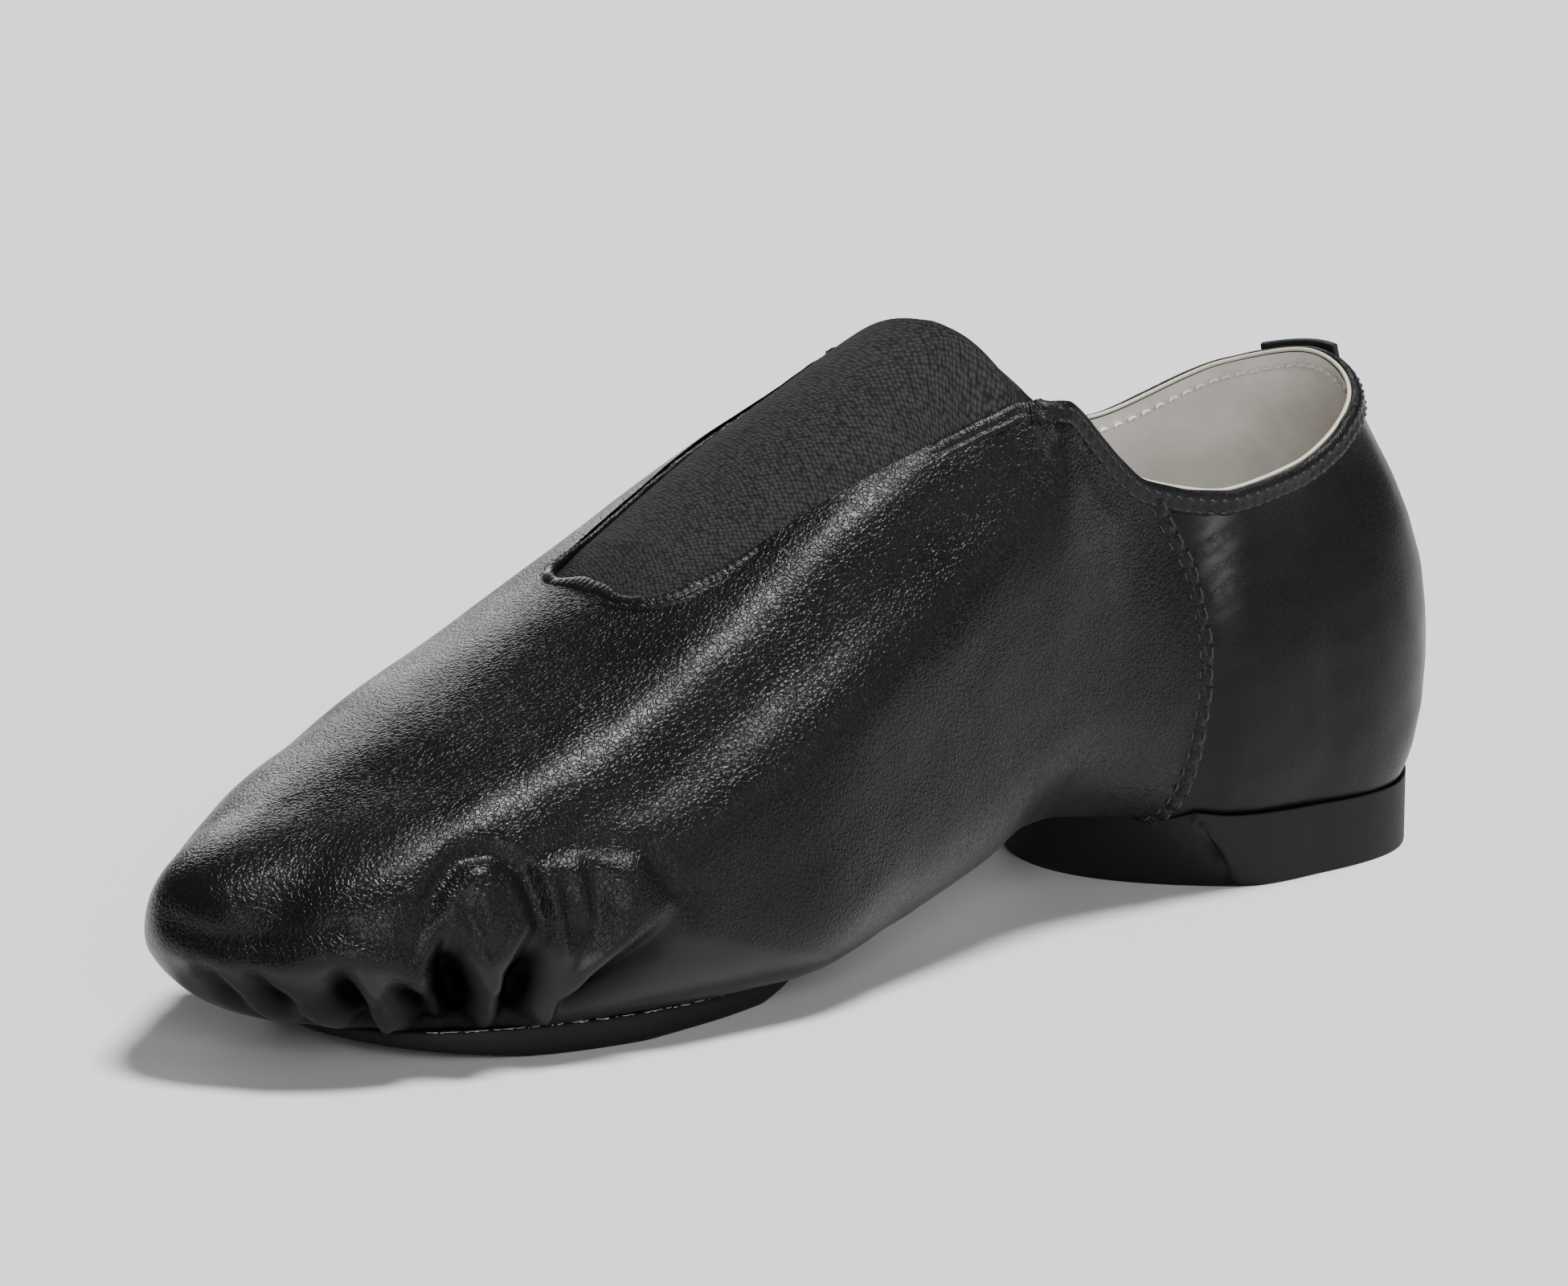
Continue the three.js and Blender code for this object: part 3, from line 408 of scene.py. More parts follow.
BLACK, PLAIN_BLACK = (0.0045, 0.0048, 0.005), (0.014, 0.015, 0.016)
# Painted shade in the pleats' hollows: a near-black colour and a low shine.
PAINTED_HOLLOW_SHADE = (0.0005, 0.0005, 0.0006)
VAMP_SHINE, PAINTED_SHADE_SHINE = 0.18, 0.02
grain = bpy.data.node_groups.new("pebbled grain", "ShaderNodeTree")
for socket, way in (("Size mm", "INPUT"), ("Height", "OUTPUT"), ("Patches", "OUTPUT")):
    grain.interface.new_socket(socket, in_out=way, socket_type="NodeSocketFloat")
gn, gl = grain.nodes, grain.links
g_in, g_out = gn.new("NodeGroupInput"), gn.new("NodeGroupOutput")
g_at = gn.new("ShaderNodeTexCoord")
g_scale = gn.new("ShaderNodeMath")
g_scale.operation, g_scale.inputs[0].default_value = "DIVIDE", 1000.0
gl.new(g_in.outputs["Size mm"], g_scale.inputs[1])
g_warp = speckle(gn, gl, 900, 2)
g_push = gn.new("ShaderNodeMix")
g_push.data_type, g_push.blend_type = "RGBA", "LINEAR_LIGHT"
g_push.inputs["Factor"].default_value = 0.0006
gl.new(g_at.outputs["Object"], g_push.inputs["A"])
gl.new(g_warp.outputs["Color"], g_push.inputs["B"])
g_cell = gn.new("ShaderNodeTexVoronoi")
g_cell.feature = "DISTANCE_TO_EDGE"
gl.new(g_scale.outputs[0], g_cell.inputs["Scale"])
gl.new(g_push.outputs["Result"], g_cell.inputs["Vector"])
g_round = gn.new("ShaderNodeMapRange")
g_round.interpolation_type = "SMOOTHSTEP"
g_round.inputs["From Max"].default_value = 0.28
gl.new(g_cell.outputs["Distance"], g_round.inputs["Value"])
g_fine = speckle(gn, gl, 2600, 3)
g_sum = gn.new("ShaderNodeMath")
g_sum.operation = "MULTIPLY_ADD"
g_sum.inputs[1].default_value = 0.3
gl.new(g_fine.outputs["Fac"], g_sum.inputs[0])
gl.new(g_round.outputs["Result"], g_sum.inputs[2])
gl.new(g_sum.outputs[0], g_out.inputs["Height"])
g_patch = speckle(gn, gl, 60, 3)
gl.new(g_patch.outputs["Fac"], g_out.inputs["Patches"])


def material(name, color, roughness):
    """Material with a Principled shader, and its nodes and links to add to."""
    look = bpy.data.materials.new(name)
    look.use_nodes = True
    shader = look.node_tree.nodes["Principled BSDF"]
    shader.inputs["Base Color"].default_value = (*color, 1)
    shader.inputs["Roughness"].default_value = roughness
    return look, shader, look.node_tree.nodes, look.node_tree.links


def roughen(shader, nodes, links, height, distance):
    """Bump node on a shader from an output for height, over a distance in metres."""
    bump = nodes.new("ShaderNodeBump")
    bump.inputs["Distance"].default_value = distance
    links.new(height, bump.inputs["Height"])
    links.new(bump.outputs["Normal"], shader.inputs["Normal"])
    return bump


def fade_by(look, name, low, high, goal):
    """Value from low to high on a shader's input by a number kept at the mesh's points."""
    nodes, links = look.node_tree.nodes, look.node_tree.links
    kept = nodes.new("ShaderNodeAttribute")
    kept.attribute_name = name
    fade = nodes.new("ShaderNodeMapRange")
    fade.inputs["To Min"].default_value, fade.inputs["To Max"].default_value = low, high
    links.new(kept.outputs["Fac"], fade.inputs["Value"])
    links.new(fade.outputs["Result"], goal)


def shade_by(look, name, color, tint):
    """Output for a colour that turns from color, a value or an output, to tint by a number kept at
    the mesh's points."""
    nodes, links = look.node_tree.nodes, look.node_tree.links
    kept = nodes.new("ShaderNodeAttribute")
    kept.attribute_name = name
    mix = nodes.new("ShaderNodeMix")
    mix.data_type = "RGBA"
    mix.inputs["B"].default_value = (*tint, 1)
    if isinstance(color, tuple):
        mix.inputs["A"].default_value = (*color, 1)
    else:
        links.new(color, mix.inputs["A"])
    links.new(kept.outputs["Fac"], mix.inputs["Factor"])
    return mix.outputs["Result"]


def leather(name, size, depth, rough_low, rough_high, shine):
    """Black leather: grain as bump, and gloss that varies in soft patches."""
    look, shader, nodes, links = material(name, BLACK, 0.4)
    pebble = nodes.new("ShaderNodeGroup")
    pebble.node_tree = grain
    pebble.inputs["Size mm"].default_value = size
    roughen(shader, nodes, links, pebble.outputs["Height"],
            depth * MM).inputs["Strength"].default_value = 1.0
    gloss = nodes.new("ShaderNodeMapRange")
    gloss.inputs["From Min"].default_value, gloss.inputs["From Max"].default_value = 0.35, 0.65
    gloss.inputs["To Min"].default_value, gloss.inputs["To Max"].default_value = rough_low, rough_high
    links.new(pebble.outputs["Patches"], gloss.inputs["Value"])
    links.new(gloss.outputs["Result"], shader.inputs["Roughness"])
    shader.inputs["Specular IOR Level"].default_value = shine
    return look


vamp_look = leather("vamp leather", 0.8, 0.05, 0.26, 0.34, VAMP_SHINE)
shader = vamp_look.node_tree.nodes["Principled BSDF"]
fade_by(vamp_look, "plain", 1.0, 0.15, vamp_look.node_tree.nodes["Bump"].inputs["Strength"])
# Painted shade: the pleats' hollows get a darker colour and less shine by their mask.
fade_by(vamp_look, "painted_pleat_shade", VAMP_SHINE, PAINTED_SHADE_SHINE, shader.inputs["Specular IOR Level"])
vamp_look.node_tree.links.new(
    shade_by(vamp_look, "painted_pleat_shade", shade_by(vamp_look, "plain", BLACK, PLAIN_BLACK), PAINTED_HOLLOW_SHADE),
    shader.inputs["Base Color"])
vamp.data.materials.append(vamp_look)
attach(vamp, "root")
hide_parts("upper")

# Quarter
# Back part of the upper, of the same leather but smoother. It runs round the heel from one side
# seam to the other, with its front edges tucked under the vamp.
QUARTER_SET = 0.7
CRUMPLE, CRUMPLE_REACH = np.array([17.0, 25.5, 55.0]), np.array([3.2, 9.0, 10.0])
QUARTER_SHINE, WORN_SHINE = 0.14, 0.7
quarter_lines = even(SEAM_ROW - 0.25, 30 - SEAM_ROW + 0.25, 0.9, 2.2)
quarter_places = np.concatenate([np.linspace(0, 1, 7)[:-1], np.linspace(1, 2, 31)[:-1],
                                 np.linspace(2, 3, 61)])[None]


def crumpled(p):
    """How far points lie in the crumpled patch by the inner seam: 1 at its middle, 0 outside."""
    return np.exp(-(np.linalg.norm((p - CRUMPLE) / CRUMPLE_REACH, axis=-1)) ** 2)


def quarter_surface(round_, place):
    """Quarter's surface in mm: the last, set in by the thickness of the vamp, with soft dents."""
    p, _, _, normal = ribs(round_, place)
    set_in = QUARTER_SET * np.clip((place - 1) * 2, 0, 1)
    height = 0.12 * waves(p, 22, 8) + 0.04 * waves(p, 8, 9) - set_in
    height = height + crumpled(p) * (0.28 * waves(p, 4.5, 10) + 0.14 * waves(p, 2.4, 11))
    return p + normal * height[..., None]


quarter_grid = quarter_surface(bent(quarter_lines[:, None], quarter_places)
                               + 0 * quarter_places, quarter_places)
quarter = sheet("quarter", quarter_grid)
quarter_look = leather("quarter leather", 0.6, 0.018, 0.32, 0.4, QUARTER_SHINE)
quarter.data.materials.append(quarter_look)
mark(quarter, "worn", crumpled(quarter_grid))
fade_by(quarter_look, "worn", QUARTER_SHINE, WORN_SHINE,
        quarter_look.node_tree.nodes["Principled BSDF"].inputs["Specular IOR Level"])
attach(quarter, "root")

# Lining
# Pale taupe cloth inside the whole upper, stitched to it along the collar.
LINING_SET = 1.9
lining_lines = even(-BACK, BACK, 1.6, 2.2)
lining_edge = gore_edge(lining_lines)
lining_places = 0.9 + (np.where(np.abs(lining_lines) < GORE_FRONT, 3, lining_edge)[:, None] - 0.9) \
    * np.linspace(0, 1, 61)


def lining_surface(round_, place):
    """Lining's surface in mm: the last, set in by the leather's thickness, with soft dents."""
    p, _, _, normal = ribs(round_, place)
    toe = np.clip((p[..., 0] - 125) / 15, 0, 1) * np.clip(2.6 - place, 0, 1)
    return p - normal * (LINING_SET + 0.15 * waves(p, 16, 12) + 4 * toe)[..., None]


lining = sheet("lining", lining_surface(bent(lining_lines[:, None], lining_places),
                                        lining_places)[:, ::-1])
look, shader, nodes, links = material("taupe lining", (0.43, 0.40, 0.36), 0.75)
mottle = speckle(nodes, links, 120, 6)
ramp = nodes.new("ShaderNodeValToRGB")
ramp.color_ramp.elements[0].position, ramp.color_ramp.elements[1].position = 0.3, 0.7
ramp.color_ramp.elements[0].color = (0.70, 0.67, 0.62, 1)
ramp.color_ramp.elements[1].color = (0.86, 0.84, 0.79, 1)
links.new(mottle.outputs["Fac"], ramp.inputs["Fac"])
links.new(ramp.outputs["Color"], shader.inputs["Base Color"])
nap = speckle(nodes, links, 1800, 3)
roughen(shader, nodes, links, nap.outputs["Fac"], 0.00006).inputs["Strength"].default_value = 0.6
lining.data.materials.append(look)
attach(lining, "root")

# Collar
# The leather's top edge is turned over in a narrow band and sewn down with two rows of thread.
# A thin cream edge of the lining shows inside it.
rim = even(GORE_BACK, 30 - GORE_BACK, 0.35, 3)


def edge_frame(round_, place):
    """Frame along an edge of the last: its points, direction, the way down its side and normal."""
    p, _, up, normal = ribs(round_, place)
    along = unit(np.gradient(p, axis=0))
    down = unit(np.cross(normal, along))
    down = np.where(((down * up).sum(-1) > 0)[:, None], -down, down)
    return p, along, down, normal


def strip(frame_, section):
    """Grid of an outline carried along an edge: its rows give the distance down the side and the
    height over it, in mm, for each point of the edge."""
    p, _, down, normal = frame_
    section = np.broadcast_to(section, (len(p), *section.shape[-2:]))
    return (p[:, None] + down[:, None] * section[..., :1] + normal[:, None] * section[..., 1:])


def stitches(name, frame_, down, height, pitch, length, radius, look, loose=0.0):
    """Row of stitches along an edge as one mesh: each is a bent six-sided thread whose ends dip
    into the leather, set at equal steps along the edge, or strewn and turned where loose."""
    p_, along_, down_, normal_ = frame_
    run_ = np.concatenate([[0], np.cumsum(np.linalg.norm(np.diff(p_, axis=0), axis=-1))])
    spots = np.arange(pitch / 2, run_[-1], pitch)
    rng = np.random.default_rng(17)
    spots = spots + loose * pitch * rng.uniform(-1, 1, len(spots))
    lean = loose * rng.normal(0, 0.7, (len(spots), 1))

    def at_spots(values):
        return np.stack([np.interp(spots, run_, values[:, c]) for c in range(3)], axis=1)

    centre = at_spots(p_ + down_ * down + normal_ * height)
    ahead_, across_ = unit(at_spots(along_)), unit(at_spots(down_))
    centre = centre + across_ * loose * rng.uniform(-0.5, 0.5, (len(spots), 1))
    axes = np.stack([ahead_ * np.cos(lean) + across_ * np.sin(lean),
                     across_ * np.cos(lean) - ahead_ * np.sin(lean),
                     unit(at_spots(normal_))], axis=1)
    s_ = np.linspace(-1, 1, 7)
    thick_ = radius * np.sqrt(np.clip(1 - s_ ** 4, 0.04, 1))
    turn_ = np.linspace(0, 2 * np.pi, 7)[:-1]
    ring = np.stack([np.broadcast_to(s_[:, None] * length / 2, (7, 6)),
                     thick_[:, None] * np.cos(turn_),
                     thick_[:, None] * np.sin(turn_) - (s_[:, None] ** 2) * radius * 1.4], axis=-1)
    points = centre[:, None, None] + np.einsum("rtk,nkc->nrtc", ring, axes)
    count = len(spots)
    i_, j_ = np.meshgrid(np.arange(6), np.arange(6), indexing="ij")
    quads = np.stack([i_ * 6 + j_, (i_ + 1) * 6 + j_, (i_ + 1) * 6 + (j_ + 1) % 6,
                      i_ * 6 + (j_ + 1) % 6], axis=-1).reshape(-1, 4)[:, ::-1]
    faces_ = (quads[None] + 42 * np.arange(count)[:, None, None]).reshape(-1, 4)
    mesh = bpy.data.meshes.new(name)
    mesh.from_pydata((points.reshape(-1, 3) * MM).tolist(), [], faces_.tolist())
    mesh.polygons.foreach_set("use_smooth", np.ones(len(faces_), bool))
    mesh.materials.append(look)
    row_of = bpy.data.objects.new(name, mesh)
    bpy.context.collection.objects.link(row_of)
    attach(row_of, "root")
    return row_of


rim_frame = edge_frame(rim, 3.0)
band_section = np.array([[3.9, -0.75], [3.4, -0.35], [3.1, 0.02], [2.8, 0.3], [2.3, 0.38],
                         [1.8, 0.34], [1.3, 0.4], [0.7, 0.42], [0.2, 0.3], [-0.2, 0.05],
                         [-0.42, -0.35], [-0.42, -0.8], [-0.2, -1.2], [0.2, -1.4]])
run = np.concatenate([[0], np.cumsum(np.linalg.norm(np.diff(rim_frame[0], axis=0), axis=-1))])
pucker = (1 - np.abs(np.sin(np.pi * run / 2.3)))[:, None] * np.array(
    [0, 0, 0, .1, .05, .3, .12, .02, .05, 0, 0, 0, 0, 0])
sections = np.broadcast_to(band_section, (len(rim), 14, 2)).copy()
sections[..., 1] -= pucker * 0.5
vary = waves(rim_frame[0], 7, 21)
sections[..., 1] += 0.08 * vary[:, None] * np.linspace(0, 1, 14)
sections[..., 0] += 0.08 * vary[:, None]
band = sheet("collar_band", strip(rim_frame, sections))
band.data.materials.append(leather("collar leather", 0.5, 0.03, 0.3, 0.42, 0.2))
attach(band, "root")
black_thread, _, _, _ = material("black thread", (0.006, 0.006, 0.007), 0.5)
grey_thread, _, _, _ = material("grey thread", (0.8, 0.78, 0.74), 0.6)
stitches("collar_stitches_low", rim_frame, 2.75, 0.28, 2.2, 1.6, 0.28, black_thread)
stitches("collar_stitches_high", rim_frame, 0.9, 0.42, 2.2, 1.6, 0.26, black_thread)
stitches("lining_stitches", rim_frame, 2.1, -2.15, 2.5, 1.6, 0.36, grey_thread)
angles = np.linspace(0, 2 * np.pi, 11)[:-1]
piping_section = np.stack([-0.3 + 0.32 * np.cos(angles), -1.5 - 0.34 * np.sin(angles)], axis=1)
piping = sheet("cream_edge", strip(rim_frame, piping_section), wrap=True)
look, shader, nodes, links = material("cream edge", (0.72, 0.67, 0.55), 0.6)
piping.data.materials.append(look)
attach(piping, "root")

# Gore
# Panel of black woven elastic over the instep, sewn under the edge of the vamp on three sides.
# Its back edge is turned in and closes the collar.
GORE_SET, GORE_CROWN = 1.4, 1.8
gore_lines = even(GORE_FRONT - 0.25, GORE_BACK, 0.6, 3)
gore_lines = np.concatenate([gore_lines, [GORE_BACK]])
gore_across = np.linspace(0, 1.08, 46)
ends = np.clip(np.minimum((gore_lines - GORE_FRONT) * 3, (GORE_BACK - gore_lines) / 2), 0, 1)


def gore_lift(p):
    """Direction outward from the gore at a point: up and forward, leaning out with the distance
    from the middle."""
    return unit(np.stack([np.full(p.shape[:-1], 0.45), p[..., 1] / 50, np.full(p.shape[:-1], 0.85)],
                         axis=-1))


def gore_half(side):
    """Half of the gore in mm, from the ridge to under the vamp's edge, sunk under that edge and
    full along the middle, more so on the outer side."""
    full = np.sin(np.clip(1 - gore_across, 0, 1) * np.pi / 2) ** (1.0 if side > 0 else 0.5)
    height = GORE_CROWN * full * ends[:, None] - GORE_SET
    at_front = np.maximum(gore_lines, GORE_FRONT) * side
    place = 3 - (3 - gore_edge(at_front))[:, None] * gore_across
    p_ = last(gore_lines[:, None] * side, place)
    return p_ + gore_lift(p_) * height[..., None]


gore_points = gore_half(1)
gore = join("gore_cloth", [sheet("gore_inner", gore_points[:, ::-1]), sheet("gore_outer", gore_half(-1))])
solid = gore.modifiers.new("thickness", "SOLIDIFY")
solid.thickness = 0.0011
solid.offset = -1
look, shader, nodes, links = material("woven elastic", (0.012, 0.012, 0.012), 0.85)
shader.inputs["Specular IOR Level"].default_value = 0.15
uv = nodes.new("ShaderNodeUVMap")
uv.uv_map = "UVMap"
rib_map = nodes.new("ShaderNodeMapping")
rib_map.inputs["Rotation"].default_value = (0, 0, math.radians(32))
rib_map.inputs["Scale"].default_value = (1 / 0.00062, 1 / 0.0011, 1)
links.new(uv.outputs["UV"], rib_map.inputs["Vector"])
rib = nodes.new("ShaderNodeTexVoronoi")
rib.inputs["Scale"].default_value = 1.0
rib.inputs["Randomness"].default_value = 0.45
links.new(rib_map.outputs["Vector"], rib.inputs["Vector"])
roughen(shader, nodes, links, rib.outputs["Distance"], 0.0003).invert = True
tone = nodes.new("ShaderNodeValToRGB")
tone.color_ramp.elements[0].color = (0.05, 0.05, 0.05, 1)
tone.color_ramp.elements[1].color = (0.007, 0.007, 0.007, 1)
tone.color_ramp.elements[1].position = 0.7
links.new(rib.outputs["Distance"], tone.inputs["Fac"])
links.new(tone.outputs["Color"], shader.inputs["Base Color"])
gore.data.materials.append(look)
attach(gore, "root")
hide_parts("gore")

# Gore's edge
# The vamp's leather is folded under round the gore in a narrow, gathered edge and sewn down.
LIP_AT, LIP_REACH, LIP_OUT = np.array([119.0, -1.5, 59.5]), 5.5, 1.3
KNOT_AT, KNOT_REACH, KNOT_RISE = np.array([117.5, -11.2, 57.5]), 1.6, 1.1
FAR_SINK = 0.45
side_rounds = even(GORE_BACK, GORE_FRONT, 0.3, 2.8)
outline_rounds = np.concatenate([side_rounds, np.full(50, GORE_FRONT), -side_rounds[::-1]])
front_edge, front_edge_out = gore_edge(np.array([GORE_FRONT, -GORE_FRONT]))
outline_places = np.concatenate([gore_edge(side_rounds),
                                 np.linspace(front_edge, 6 - front_edge_out, 52)[1:-1],
                                 gore_edge(-side_rounds[::-1])])
edge_points, _, _, edge_normal = ribs(outline_rounds, outline_places)
smooth = np.ones(9) / 9
padded = np.pad(edge_points, ((4, 4), (0, 0)), mode="edge")
edge_points = np.stack([np.convolve(padded[:, c], smooth, mode="valid") for c in range(3)], axis=1)
edge_along = unit(np.gradient(edge_points, axis=0))
edge_down = unit(np.cross(edge_normal, edge_along))
outward = np.stack([np.clip((edge_points[:, 0] - 111) / 8, 0, 1), edge_points[:, 1] / 20,
                    np.full(len(edge_points), -0.5)], axis=1)
edge_down = np.where(((edge_down * outward).sum(-1) > 0)[:, None], edge_down, -edge_down)
fold_section = np.array([[3.2, -0.4], [2.8, -0.06], [2.5, 0.04], [2.2, -0.14], [1.9, -0.12],
                         [1.6, 0.14], [1.2, 0.27], [0.7, 0.3], [0.3, 0.26], [0.02, 0.12],
                         [-0.15, -0.15], [-0.12, -0.6], [0.1, -1.2]])
run = np.concatenate([[0], np.cumsum(np.linalg.norm(np.diff(edge_points, axis=0), axis=-1))])
sections = np.broadcast_to(fold_section, (len(run), 13, 2)).copy()
gather = np.sin(2 * np.pi * run / 1.15 + 1.2 * waves(edge_points, 5, 31))
sections[..., 1] += 0.06 * gather[:, None] * np.array([0, 0, .2, .4, .6, 1, 1, 1, .8, .4, .2, 0, 0])
sections[..., 1] += 0.09 * waves(edge_points, 4, 32)[:, None] * np.linspace(0, 1, 13)
sections[..., 0] += 0.2 * waves(edge_points, 7, 33)[:, None]
far_side = np.clip((-edge_points[:, 1] - 2) / 3, 0, 1) * np.clip((112 - edge_points[:, 0]) / 6, 0, 1)
sections[..., 1] -= FAR_SINK * far_side[:, None]
lip = np.exp(-(np.linalg.norm(edge_points - LIP_AT, axis=-1) / LIP_REACH) ** 2)
sections[..., 0] -= LIP_OUT * lip[:, None] * np.array([0, 0, 0, 0, 0, .1, .4, .7, 1, 1, 1, .8, .5])
knot = np.exp(-(np.linalg.norm(edge_points - KNOT_AT, axis=-1) / KNOT_REACH) ** 2)
sections[..., 1] += KNOT_RISE * knot[:, None] * np.array([0, 0, 0, .2, .5, .9, 1, .9, .5, .2, 0, 0, 0])
fold = sheet("gore_fold", strip((edge_points, edge_along, edge_down, edge_normal), sections))
fold.data.materials.append(leather("folded leather", 0.5, 0.03, 0.24, 0.36, 0.22))
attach(fold, "root")
stitches("gore_stitches", (edge_points, edge_along, edge_down, edge_normal), 2.05, -0.08, 2.2, 1.5,
         0.22, black_thread)
hem_rounds = np.concatenate([np.linspace(GORE_BACK - 0.1, 7.0, 120),
                             np.linspace(-7.0, -GORE_BACK + 0.1, 120)])
hem_points = last(hem_rounds, 3.0)
even_out = np.hanning(23)[1:-1] / np.hanning(23).sum()
hem_points = np.stack([np.convolve(hem_points[:, c], even_out, mode="valid") for c in range(3)], axis=1)
hem_rounds = hem_rounds[10:-10]
hem_along = unit(np.gradient(hem_points, axis=0))
hem_ahead = unit(np.cross(gore_lift(hem_points), hem_along))
hem_ahead = hem_ahead * np.sign(hem_ahead[:, :1])
hem_rows = np.minimum(hem_rounds % 30, 30 - hem_rounds % 30)
sag = -GORE_SET + GORE_CROWN * np.clip((GORE_BACK - hem_rows) / 2, 0, 1)
hem_section = np.array([[1.5, -0.05], [1.35, 0.1], [1.1, 0.16], [0.6, 0.2], [0.1, 0.16], [-0.12, 0],
                        [-0.16, -0.4], [0, -0.9]])
hem_sections = np.broadcast_to(hem_section, (len(hem_rounds), 8, 2)).copy()
ending = np.clip(1 - np.minimum(np.arange(len(sag)), np.arange(len(sag))[::-1]) / 12, 0, 1)
hem_sections[..., 1] += (sag - 0.5 * ending)[:, None]
hem = sheet("gore_hem", strip(
    (hem_points, hem_along, hem_ahead, gore_lift(hem_points)), hem_sections)[:, ::-1])
hem.data.materials.append(gore.data.materials[0])
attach(hem, "root")

# Side seams
# The vamp's back edge is turned under and sewn over the quarter with two rows of thread, which
# draw it up into a wavy ridge.
SEAM_PITCH = 3.2
seam_section = np.array([[3.6, -0.12], [3.1, -0.12], [2.6, -0.28], [2.25, 0.05], [1.8, 0.36],
                         [1.3, 0.46], [0.8, 0.42], [0.4, 0.22], [0.12, -0.12], [-0.1, -0.5],
                         [-0.05, -0.95]])
for side_name, way in (("inner", 1), ("outer", -1)):
    seam_place = np.linspace(2.97, 0.9, 420)
    seam_frame = edge_frame(bent(np.full(420, SEAM_ROW) * way, seam_place), seam_place)
    ahead = np.where((seam_frame[2][:, :1] > 0), seam_frame[2], -seam_frame[2])
    seam_frame = (seam_frame[0], seam_frame[1], ahead, seam_frame[3])
    run = np.concatenate([[0], np.cumsum(np.linalg.norm(np.diff(seam_frame[0], axis=0), axis=-1))])
    sections = np.broadcast_to(seam_section, (420, 11, 2)).copy()
    puff = np.abs(np.sin(np.pi * run / SEAM_PITCH)) ** 0.7 - 0.6
    sections[..., 1] += 0.35 * puff[:, None] * np.array([0, 0, .3, .8, 1, 1, 1, .8, .5, .2, 0])
    sections[..., 0] += 0.3 * waves(seam_frame[0], 8, 41)[:, None] * np.linspace(0.2, 1, 11)
    ridge = sheet("seam_" + side_name, strip(seam_frame, sections))
    if way > 0:
        ridge.data.flip_normals()
    ridge.data.materials.append(vamp.data.materials[0])
    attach(ridge, "root")
    stitches("seam_stitches_front_" + side_name, seam_frame, 2.6, 0.0, SEAM_PITCH, 2.3, 0.3,
             black_thread)
    stitches("seam_stitches_back_" + side_name, seam_frame, 0.75, 0.5, SEAM_PITCH, 2.3, 0.3,
             black_thread)

# Forefoot sole
# Thin patch of black rubber under ball and toes, stuck on over the leather's gathered margin and
# feathered out at the waist.
SOLE_BACK, SOLE_FEATHER = 5.87, 1.4
SOLE_EDGE = np.array([[0, 0.9], [1, 0.95], [1.6, 1.05], [2.1, 1.16], [2.5, 1.22], [3, 1.25], [4, 1.24],
                      [4.6, 1.12], [5, 1.02], [5.4, 0.9], [5.7, 0.74], [SOLE_BACK, 0.55]])
sole_lines = even(-SOLE_BACK, SOLE_BACK, 1.2, 1.2)
rows = np.abs(sole_lines)
outline = np.interp(rows, *SOLE_EDGE.T)
share = np.linspace(0, 1, 22)
p, _, _, normal = ribs(sole_lines[:, None], outline[:, None] * share)
base = last(sole_lines[:, None], 0.0)[..., 2]
thin = np.clip(np.maximum((p[..., 0] / SPINE - 0.9) / 0.15, (rows[:, None] - 5) / (SOLE_BACK - 5)),
               0, 1)
thick = SOLE_THICKNESS + (SOLE_FEATHER - SOLE_THICKNESS) * thin
low = p.copy()
low[..., 2] = base - GAP - thick
high = p[:, -1] + normal[:, -1] * 0.12
tuck = p[:, -4] + normal[:, -4] * 0.05
wall = np.array([0.06, 0.2, 0.4, 0.6, 0.8, 0.93])
out = unit(np.cross(np.gradient(high, axis=0), np.array([0.0, 0.0, -1.0])))
out = np.where(((out * normal[:, -1]).sum(-1) > 0)[:, None], out, -out)
bulge = np.array([0.25, 0.4, 0.45, 0.45, 0.4, 0.25])
side = low[:, -1:] + (high - low[:, -1])[:, None] * wall[:, None] + out[:, None] * bulge[:, None]
loop = np.concatenate([low, side, high[:, None], tuck[:, None]], axis=1)
sole = sheet("forefoot_patch", loop[::-1])
look, shader, nodes, links = material("black rubber", (0.007, 0.007, 0.007), 0.6)
shader.inputs["Specular IOR Level"].default_value = 0.2
roughen(shader, nodes, links, speckle(nodes, links, 300, 5).outputs["Fac"], 0.00008)
rubber = look
sole.data.materials.append(rubber)
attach(sole, "root")
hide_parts("forefoot_sole")

bits_rounds = even(2.0, 4.7, 0.3, 1.2)
bits_frame = edge_frame(bits_rounds, np.interp(bits_rounds, *SOLE_EDGE.T))
waver = waves(bits_frame[0], 3.2, 51)[:, None] * 0.4
bits_frame = (bits_frame[0] - bits_frame[2] * waver, *bits_frame[1:])
cream_thread, _, _, _ = material("cream thread", (0.3, 0.28, 0.24), 0.7)
stitches("sole_threads", bits_frame, -0.35, 0.22, 1.5, 1.5, 0.06, cream_thread, 1.0)
stitches("sole_fluff", bits_frame, -0.1, 0.3, 2.6, 0.9, 0.09, cream_thread, 1.0)

